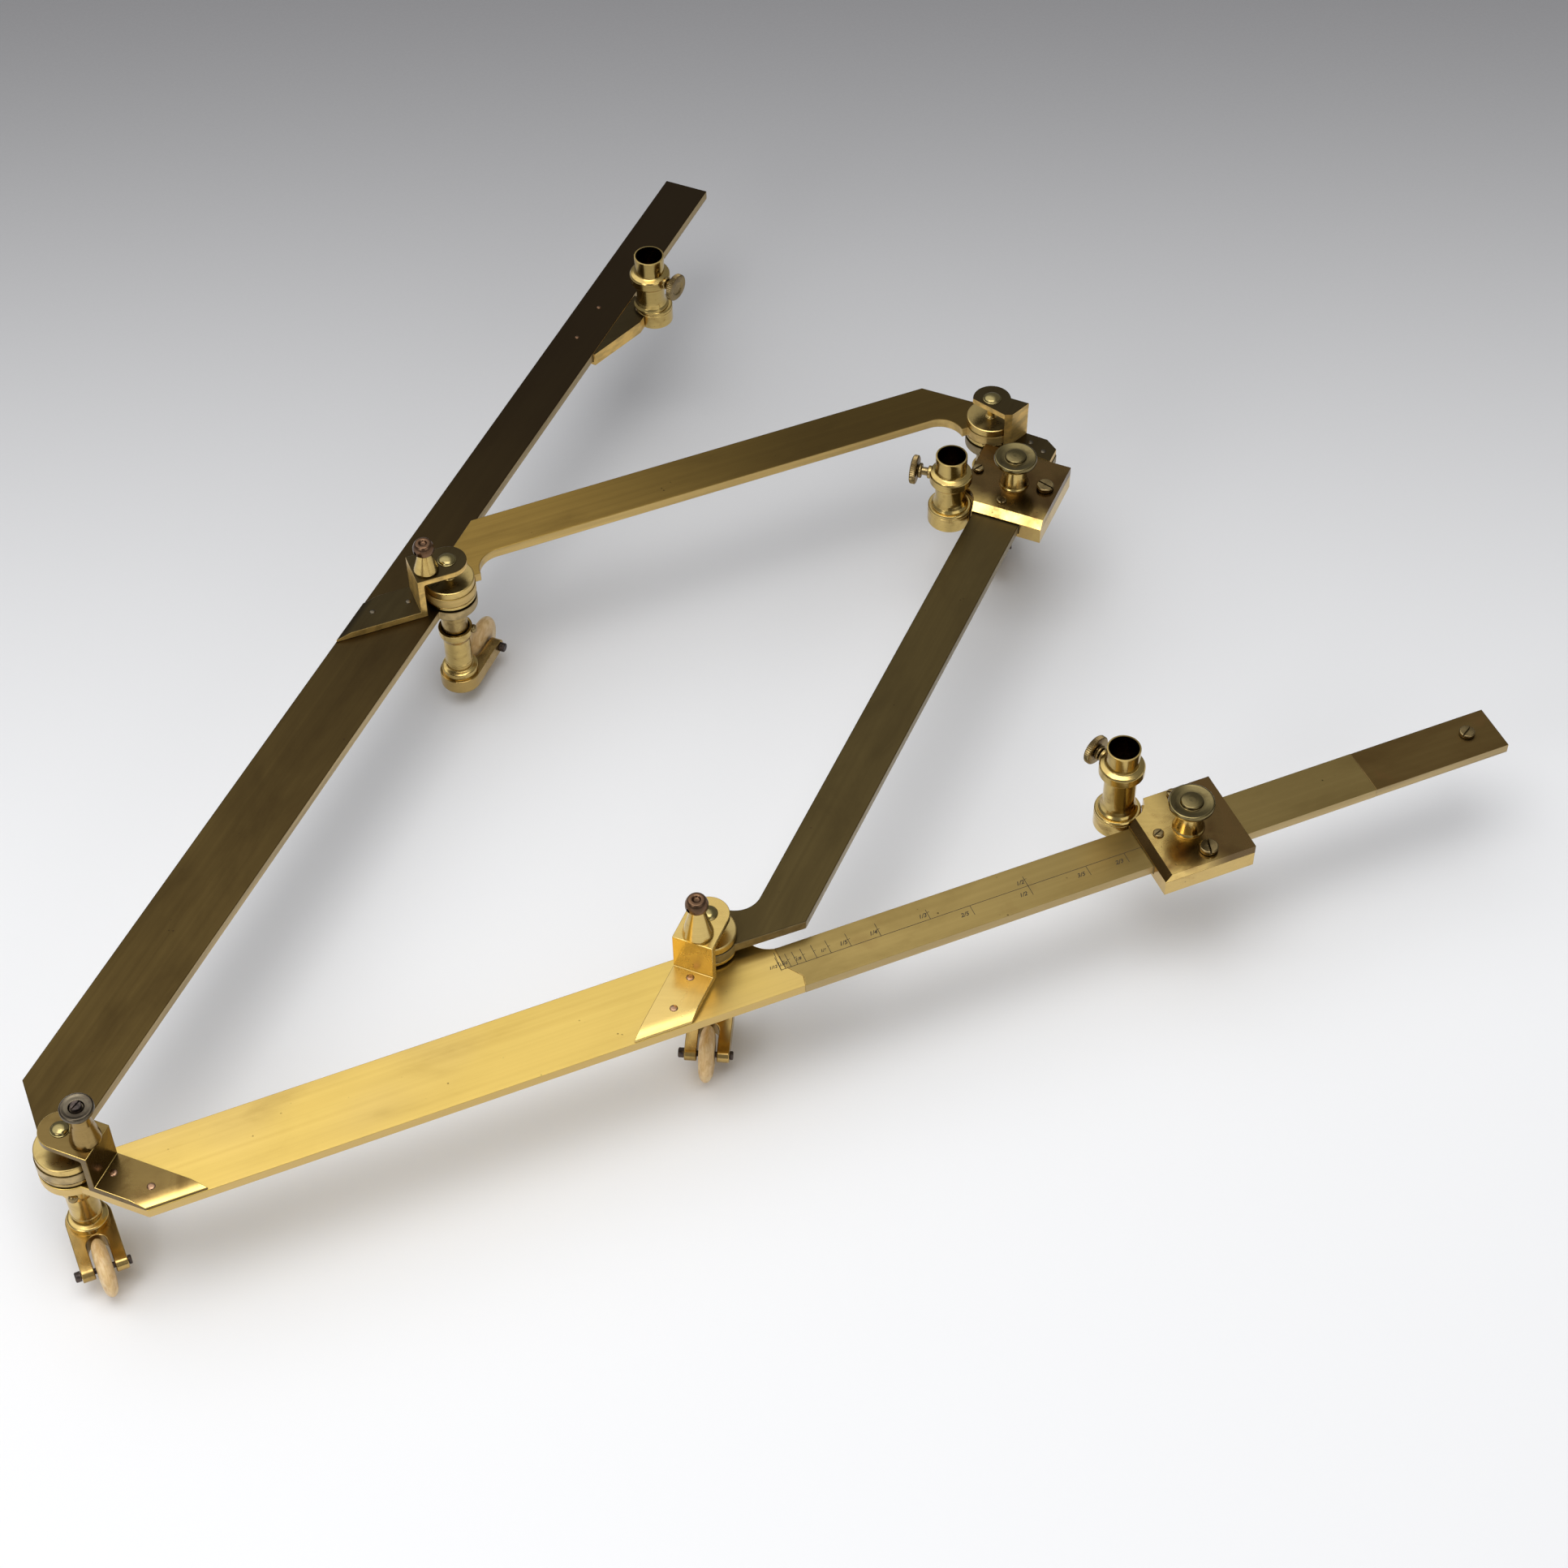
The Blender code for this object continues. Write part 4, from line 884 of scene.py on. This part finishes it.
def build_post_o():
    """Post with a dished head and a slotted steel screw standing in it."""
    spot = middle("guide_post_o")
    base = high("bridge_o").z
    cone = [(0.0, 0.0), (5.3, 0.0), (5.3, 0.9), (3.6, 9.0), (3.3, 12.6), (0.0, 12.6)]
    piece("post_o_cone", turned(cone, 0.25), M_POST_O, "bar_b", "guide_post_o",
        spot_at(spot), base)
    head = [(0.0, 12.6), (3.4, 12.6), (3.5, 13.6), (4.4, 15.0), (5.7, 15.9), (5.7, 17.2),
        (5.1, 17.7), (4.0, 17.45), (2.6, 17.4), (2.4, 16.7), (0.0, 16.7)]
    piece("post_o_head", turned(head, 0.25), M_OXIDE, "bar_b", None, spot_at(spot),
        base)
    screw = turned([(0.0, 16.3), (1.9, 16.3), (1.9, 18.3), (1.7, 18.5), (0.0, 18.5)], 0.15, 48)
    slot = prism([(-4.0, -0.3), (4.0, -0.3), (4.0, 0.3), (-4.0, 0.3)], 17.8, 21.0)
    screw = cut(screw, moved(slot, turn_z=35.0))
    piece("post_o_screw", screw, M_STEEL, "bar_b", "guide_post_screw", spot_at(spot),
        base, bevel=0.06)


def build_post(letter, body, radius, height):
    """Straight brass cone with a reddish drilled knob."""
    spot = middle("guide_post_" + letter)
    base = high("bridge_" + letter).z
    cone = [(0.0, 0.0), (radius, 0.0), (radius, 0.9), (2.4, height - 2.9), (0.0, height - 2.9)]
    piece("post_cone_" + letter, turned(cone, 0.2), M_TURNED, body,
        "guide_post_" + letter, spot_at(spot), base)
    knob = [(0.0, height - 3.0), (2.45, height - 3.0), (3.0, height - 2.5), (4.05, height - 1.3),
        (4.05, height + 0.5), (3.7, height + 1.5), (3.4, height + 2.1), (2.9, height + 2.8),
        (1.5, height + 2.85), (1.1, height + 2.0), (0.0, height + 2.0)]
    mesh = turned(knob, 0.5, 64)
    hole = moved(rod(0.8, -8.0, 8.0, 24), z=height - 0.3, turn_y=90.0)
    mesh = cut(mesh, moved(hole, turn_z=20.0))
    piece("post_knob_" + letter, mesh, M_REDDISH, body, None, spot_at(spot), base)


def build_joints():
    build_pivot("o", JOINT_O, TOP_A, 10.6, "bar_a")
    build_pivot("p", JOINT_P, TOP_C, 9.6, "bar_c")
    build_pivot("q", JOINT_Q, TOP_A, 9.6, "bar_d")
    build_pivot("r", JOINT_R, TOP_C, 9.6, "bar_c")
    build_bridge("o", FRAME_B, 0.0, TOP_B, -45.0, -1.0, M_BRIDGE_BROWN, "bar_b")
    build_bridge("q", FRAME_B, LINK_OQ, TOP_B, -135.0, -1.0, M_BRIDGE, "bar_b")
    build_bridge("p", FRAME_A, LINK_OP, TOP_A, 135.0, 1.0, M_BRIDGE_DARK, "bar_a")
    build_bridge_r()
    for letter, joint, radius, body in (("o", JOINT_O, 3.0, "bar_b"), ("q", JOINT_Q, 3.1, "bar_b"),
            ("p", JOINT_P, 3.3, "bar_a"), ("r", JOINT_R, 3.3, "bar_d")):
        build_dome(letter, joint, radius, body)
    build_post_o()
    build_post("q", "bar_b", 5.4, 15.5)
    build_post("p", "bar_a", 4.7, 11.4)


# ------------ castors
def fork_mesh():
    side = [(-12.0, FORK_LOW), (TRAIL, FORK_LOW)]
    side += arc((TRAIL, WHEEL_R), 2.7, -80.0, 80.0, 16)
    side += [(TRAIL - 4.0, FORK_TOP), (-12.0, FORK_TOP)]
    body = along_y(side, -10.0, 10.0)
    plan = [(TRAIL + 4.0, -FORK_HALF), (TRAIL + 4.0, FORK_HALF)]
    plan += arc((0.0, 0.0), FORK_HALF, 90.0, 270.0, 40)
    body = kept(body, prism(plan, 0.0, 30.0))
    slot = [(TRAIL + 9.0, -3.6), (TRAIL + 9.0, 3.6)] + arc((10.9, 0.0), 3.6, 90.0, 270.0, 28)
    return cut(body, prism(slot, 0.0, 30.0))


def build_castor(letter, host):
    joint = joint_at("swivel_%s_spin" % letter)
    wheel = joint_at("wheel_%s_roll" % letter)
    heading = math.degrees(math.atan2(wheel.y - joint.y, wheel.x - joint.x))
    body = "swivel_" + letter
    spot = spot_at(joint, heading)
    bar_low = (TOP_B if letter in "oq" else TOP_A) - BAR_T
    stem = [(0.0, 34.0), (STEM_R, 34.0), (STEM_R, 34.9), (4.2, 35.0), (4.2, 37.1), (STEM_R, 37.2),
        (STEM_R, bar_low - 1.6), (4.7, bar_low - 1.4), (4.7, bar_low - 1.0),
        (STEM_R, bar_low - 0.8), (STEM_R, bar_low - GAP), (0.0, bar_low - GAP)]
    piece("stem_" + letter, turned(stem, 0.12), M_TURNED_OLD, host,
        "castor_stem_" + letter, spot_at(joint))
    sleeve = [(0.0, 6.75), (5.2, 6.75), (6.9, 7.4), (6.9, 13.4), (7.0, 13.9), (7.0, 16.0),
        (6.4, 16.4), (5.2, 16.8), (5.2, 19.0), (5.4, 19.2), (5.4, 19.9), (5.2, 20.1), (5.2, 31.6),
        (5.5, 32.4), (6.2, 33.7), (6.5, 34.6), (6.6, 37.4), (CUP_R, 37.4), (CUP_R, 34.4),
        (0.0, 34.2)]
    piece("sleeve_" + letter, turned(sleeve, 0.25), M_TURNED, body,
        "castor_swivel_" + letter, spot)
    piece("fork_" + letter, fork_mesh(), M_FORK, body, None, spot, bevel=0.3)
    head = middle("castor_set_screw_" + letter)
    bearing = math.degrees(math.atan2(head.y - joint.y, head.x - joint.x))
    screw = [(0.0, 5.0), (0.7, 5.0), (0.7, 6.4), (1.7, 6.5), (1.7, 7.3), (1.3, 7.9), (0.6, 8.2),
        (0.0, 8.2)]
    piece("set_screw_" + letter, turned(screw, 0.2, 36), M_SCREW, body,
        "castor_set_screw_" + letter, spot_at(joint, bearing), head.z, tilt=90.0)
    near = FORK_HALF + 0.1
    axle = [(0.0, -near - 1.2), (1.4, -near - 1.2), (1.6, -near - 0.9), (1.6, -near), (1.05, -near),
        (1.05, near), (1.8, near), (1.8, near + 1.8), (1.5, near + 2.1), (0.0, near + 2.1)]
    piece("axle_" + letter, turned(axle, 0.15, 36), M_STEEL, body,
        "castor_axle_" + letter, spot_at(wheel, heading - 90.0), WHEEL_R, tilt=90.0)
    tread = [(1.3, -2.8), (4.0, -2.8)]
    for index in range(17):
        part = -1.0 + 2.0 * index / 16
        tread.append((4.6 + (WHEEL_R - 4.6) * math.sqrt(1.0 - part * part) ** 0.9, 2.75 * part))
    tread += [(4.0, 2.8), (1.3, 2.8)]
    piece("wheel_disc_" + letter, turned(tread, 0.15), M_IVORY, "wheel_" + letter,
        "castor_wheel_" + letter, spot_at(wheel, heading - 90.0), WHEEL_R, tilt=90.0)


# ------------ sockets and thumb screws
def build_socket(name, joint_name, bar_top, disc_r, shift, body):
    """Open tube with a collar, a foot disc and a boss for its thumb screw."""
    at = joint_at(joint_name)
    heading = joint_heading(joint_name)
    collar = (at.z - 2.6, at.z + 2.6)
    rim = high(name + "_socket").z
    tube = [(BORE_R, bar_top - 5.9), (5.8, bar_top - 5.9), (5.8, bar_top + 1.5),
        (7.3, bar_top + 1.7), (7.2, bar_top + 2.3), (6.5, bar_top + 3.1), (6.0, bar_top + 4.6),
        (TUBE_R, bar_top + 5.6), (TUBE_R, collar[0] - 0.7), (6.1, collar[0] - 0.4),
        (7.7, collar[0]), (8.3, collar[0] + 0.9), (8.3, collar[1] - 1.2), (7.9, collar[1] - 0.5),
        (6.5, collar[1]), (6.1, collar[1] + 0.3), (6.05, collar[1] + 1.2), (6.15, rim - 0.8),
        (6.15, rim), (BORE_R, rim)]
    piece(name + "_tube", turned(tube, 0.12, closed=True), M_TUBE, body,
        name + "_socket", spot_at(at))
    disc = [(BORE_R, bar_top - 6.2), (disc_r, bar_top - 6.2), (disc_r, bar_top - 0.1),
        (disc_r - 0.15, bar_top), (disc_r - 0.15, bar_top + 0.25), (disc_r, bar_top + 0.35),
        (disc_r, bar_top + 1.2), (disc_r - 0.5, bar_top + 1.7), (BORE_R, bar_top + 1.7)]
    piece(name + "_foot", turned(disc, 0.12, closed=True), M_TURNED, body, None,
        (at.x + shift[0], at.y + shift[1], 0.0))
    boss = [(1.9, 7.6), (2.6, 7.6), (2.6, 8.8), (2.3, 9.1), (1.9, 9.1)]
    piece(name + "_boss", turned(boss, 0.15, 36, closed=True), M_TURNED_OLD, body,
        None, spot_at(at, heading), at.z, tilt=90.0)


def build_thumb(name, joint_name, reach, body):
    """Knurled thumb screw along its joint's axis."""
    at = joint_at(joint_name)
    near = reach - 1.2
    far = reach + 1.2
    profile = [(0.0, 5.95), (1.6, 5.95), (1.6, near - 1.7), (2.8, near - 1.7), (3.0, near - 1.3),
        (2.9, near - 0.6), (2.2, near - 0.2), (2.4, near), (5.2, near), (5.7, near + 0.4),
        (5.7, far - 0.4), (5.2, far), (3.2, far), (2.6, far - 0.5), (0.0, far - 0.35)]
    mesh = turned(profile, 0.15, 180, (45, 0.28), 5.5)
    piece(name, mesh, M_SCREW, body, name.replace("_knurled", "_thumb_screw"),
        spot_at(at, joint_heading(joint_name)), at.z, tilt=90.0)


# ------------ sliders
def build_slotted(name, node, radius, height, turn, body):
    """Cheese-head screw with a filed slot, standing where its node stands."""
    at = middle(node)
    seat = high(node).z - height
    profile = [(0.0, -0.6), (radius * 0.7, -0.6), (radius * 0.7, 0.0), (radius, 0.0),
        (radius, height - 0.3), (radius - 0.35, height), (0.0, height)]
    mesh = turned(profile, 0.15, 48)
    reach = radius + 1.0
    slot = prism([(-reach, -0.33), (reach, -0.33), (reach, 0.33), (-reach, 0.33)], height * 0.4,
        height + 2.0)
    mesh = cut(mesh, moved(slot, turn_z=turn))
    piece(name, mesh, M_SCREW, body, node, spot_at(at), seat, bevel=0.05)


def slider_plate(end, clamp):
    section = [(-0.1, PLATE_LOW), (end, PLATE_LOW), (end, PLATE_TOP), (2.2, PLATE_TOP),
        (-0.1, PLATE_LOW + 0.3)]
    body = along_y(section, PLATE_OUT, PLATE_IN)
    body = cut(body, rod(9.3, -5.0, 8.0, 120))
    body = cut(body, moved(rod(2.1, -5.0, 8.0, 40), clamp.x, clamp.y))
    return body


def slider_channel(end):
    section = [(PLATE_OUT, CHEEK_LOW), (PLATE_IN, CHEEK_LOW), (PLATE_IN, 0.5), (-9.35, 0.5),
        (-9.35, -4.3), (-29.0, -4.3), (-29.0, 0.5), (PLATE_OUT, 0.5)]
    body = along_x(section, 0.0, end)
    notch = prism([(CHEEK_IN_END, -9.6), (50.0, -9.6), (50.0, 0.0), (CHEEK_IN_END, 0.0)],
        CHEEK_LOW - 3.0, 3.0)
    body = cut(body, notch)
    return cut(body, rod(8.8, CHEEK_LOW - 3.0, 3.0, 120))


def build_clamp(letter, spot, clamp, top, body):
    """Threaded cone on the plate and the dished clamp knob in it."""
    cone = [(THREAD_R, 4.0), (6.0, 4.0), (5.9, 4.7), (5.5, 5.3), (3.3, CONE_TOP),
        (THREAD_R, CONE_TOP)]
    at = in_frame(spot, clamp.x, clamp.y)
    piece("clamp_cone_" + letter, turned(cone, 0.2, closed=True), M_TURNED, body,
        None, (*at, 0.0), top)
    knob = [(0.0, 0.4), (1.7, 0.4), (1.7, 14.3), (3.6, 14.3), (6.2, 14.9), (7.9, 15.5),
        (8.35, 16.2), (8.4, 17.2), (8.2, 17.9), (7.7, 18.1), (7.0, 17.9), (5.6, 17.6), (4.3, 17.5),
        (4.15, 17.7), (4.05, 18.3), (3.7, 18.6), (2.6, 18.8), (1.2, 18.9), (0.0, 18.9)]
    piece("clamp_disc_" + letter, turned(knob, 0.3, 96), M_CLAMP, "clamp_" + letter,
        "clamp_knob_" + letter, (*at, 0.0), top)


def build_slider(letter, heading):
    body = "slider_" + letter
    top = TOP_B if letter == "b" else TOP_A
    at = joint_at("thumb_%s_turn" % letter)
    spot = spot_at(at, heading)
    turn = Matrix.Rotation(math.radians(-heading), 2)
    clamp = turn @ (joint_at("clamp_%s_turn" % letter).xy - at.xy)
    end = PLATE_ENDS[letter]
    piece("plate_" + letter, slider_plate(end, clamp), M_SLIDER[letter], body,
        "slider_plate_" + letter, spot, top, bevel=0.18)
    piece("channel_" + letter, slider_channel(end), M_CHANNEL, body,
        "slider_body_" + letter, spot, top, bevel=0.18)
    build_clamp(letter, spot, clamp, top, body)
    for kind, radius, height, angle in (("index", 2.0, 0.7, 20.0), ("outer", 3.4, 1.8, 75.0),
            ("inner", 2.1, 1.2, -30.0)):
        build_slotted("slider_%s_head_%s" % (kind, letter), "slider_screw_%s_%s" % (kind, letter),
            radius, height, heading + angle, body)
    build_socket("slider_" + letter, "thumb_%s_turn" % letter, top, 8.5, (0.0, 0.0), body)


def build_heads():
    build_slider("b", 0.0)
    build_slider("d", TURN_A)
    build_thumb("slider_b_knurled", "thumb_b_turn", 12.3, "thumb_b")
    build_thumb("slider_d_knurled", "thumb_d_turn", 14.4, "thumb_d")
    build_thumb("tracer_knurled", "thumb_tracer_turn", 13.1, "thumb_tracer")
    build_socket("tracer", "thumb_tracer_turn", TOP_A, 7.5, (1.2, -0.5), "bar_a")
    build_slotted("stop_screw_head", "stop_screw_b", 2.9, 1.5, 30.0, "bar_b")
    bracket = frame["nodes"]["tracer_bracket"]
    bracket.data.materials.clear()
    bracket.data.materials.append(M_BRIDGE_DARK)
    for number, at in ((1, (428.4, 20.0)), (2, (448.9, 19.8))):
        rivet("bracket_rivet_%d" % number, in_frame(FRAME_A, *at), TOP_A, M_REDDISH, "bar_a", 1.0)


# ------------ floor, light and camera
VIEW_TURN = math.radians(22.35886)
VIEW_DOWN = math.radians(49.07236)
VIEW_ROLL = math.radians(-0.70817)


def floor_material():
    """Pale sweep with painted light falloff: bright in front, darker towards the back."""
    n = Nodes("pale_floor")
    axes = n.axes()
    depth = n.math("ADD", n.math("MULTIPLY", axes["X"], math.sin(VIEW_TURN)),
        n.math("MULTIPLY", axes["Y"], math.cos(VIEW_TURN)))
    start = JOINT_O.x * math.sin(VIEW_TURN) + JOINT_O.y * math.cos(VIEW_TURN)
    painted_falloff = n.add("ShaderNodeValToRGB")
    n.feed(painted_falloff, {0: n.ramp(depth, start * MM + 0.06, start * MM + 0.84)})
    painted_falloff.color_ramp.elements[0].color = (0.87, 0.87, 0.875, 1.0)
    painted_falloff.color_ramp.elements[1].color = (0.23, 0.226, 0.232, 1.0)
    grain = n.noise(n.coords, 700.0, 3.0)
    return n.finish(painted_falloff.outputs[0], n.ramp(grain, 0.3, 0.7, 0.7, 0.85),
        n.bump(grain, 0.02, 0.0002), 0.0)


def build_floor():
    bm = bmesh.new()
    bmesh.ops.create_grid(bm, x_segments=4, y_segments=4, size=4.0)
    floor = placed("floor", stored(bm, "floor"))
    floor.location.z = -0.0002
    floor.data.materials.append(floor_material())


def area_light(name, place, target, size, power):
    data = bpy.data.lights.new(name, "AREA")
    data.shape = "RECTANGLE"
    data.size, data.size_y = size
    data.energy = power
    lamp = placed(name, data)
    lamp.location = place
    lamp.rotation_euler = (Vector(target) - Vector(place)).to_track_quat("-Z", "Y").to_euler()


SOFTBOX_HEADING = 127.6   # where the bright part of the sky is, seen from the object
SOFTBOX_HEIGHT = 65.0


def studio_world():
    """Dim studio with one big soft light: the brass is bright on its left, dark on its right."""
    n = Nodes("studio", "worlds")
    flat = math.cos(math.radians(SOFTBOX_HEIGHT))
    softbox = (*polar(flat, SOFTBOX_HEADING), math.sin(math.radians(SOFTBOX_HEIGHT)))
    facing = n.made("ShaderNodeVectorMath", "Value", {0: n.source.outputs["Generated"], 1: softbox},
        operation="DOT_PRODUCT")
    n.feed(n.tree.nodes["Background"], {"Color": (0.97, 0.98, 1.0),
        "Strength": n.ramp(facing, 0.70, 0.92, 0.25, 1.4)})
    return n.owner


def build_lights():
    area_light("key", (-0.15, -0.25, 1.35), (0.0, 0.0, 0.0), (1.1, 0.9), 8.0)
    area_light("front", (0.5, -1.6, 0.9), (0.0, 0.0, 0.05), (1.2, 0.8), 3.0)
    area_light("side", (-0.82, -0.55, 0.55), (0.13, -0.02, 0.06), (0.35, 0.35), 1.6)
    bpy.context.scene.world = studio_world()
    bpy.context.scene.view_settings.view_transform = "Standard"


def build_camera():
    data = bpy.data.cameras.new("camera")
    data.sensor_width = 36.0
    data.lens = 71.03
    data.clip_start = 0.01
    data.clip_end = 20.0
    camera = placed("camera", data)
    c, s = math.cos(VIEW_TURN), math.sin(VIEW_TURN)
    right = Vector((c, -s, 0.0))
    ahead = Vector((math.cos(VIEW_DOWN) * s, math.cos(VIEW_DOWN) * c, -math.sin(VIEW_DOWN)))
    up = Vector((math.sin(VIEW_DOWN) * s, math.sin(VIEW_DOWN) * c, math.cos(VIEW_DOWN)))
    side = math.cos(VIEW_ROLL) * right + math.sin(VIEW_ROLL) * up
    top = -math.sin(VIEW_ROLL) * right + math.cos(VIEW_ROLL) * up
    place = Matrix((side, top, -ahead)).transposed().to_4x4()
    place.translation = Vector((JOINT_O.x - 0.22, JOINT_O.y - 622.79, TOP_B + 850.0)) * MM
    camera.matrix_world = place
    bpy.context.scene.camera = camera


build_camera()
build_bars()
build_scale()
build_joints()
for castor, carrier in (("o", "bar_b"), ("q", "bar_b"), ("p", "bar_a"), ("r", "bar_d")):
    build_castor(castor, carrier)
build_heads()
build_floor()
build_lights()
bpy.context.view_layer.update()
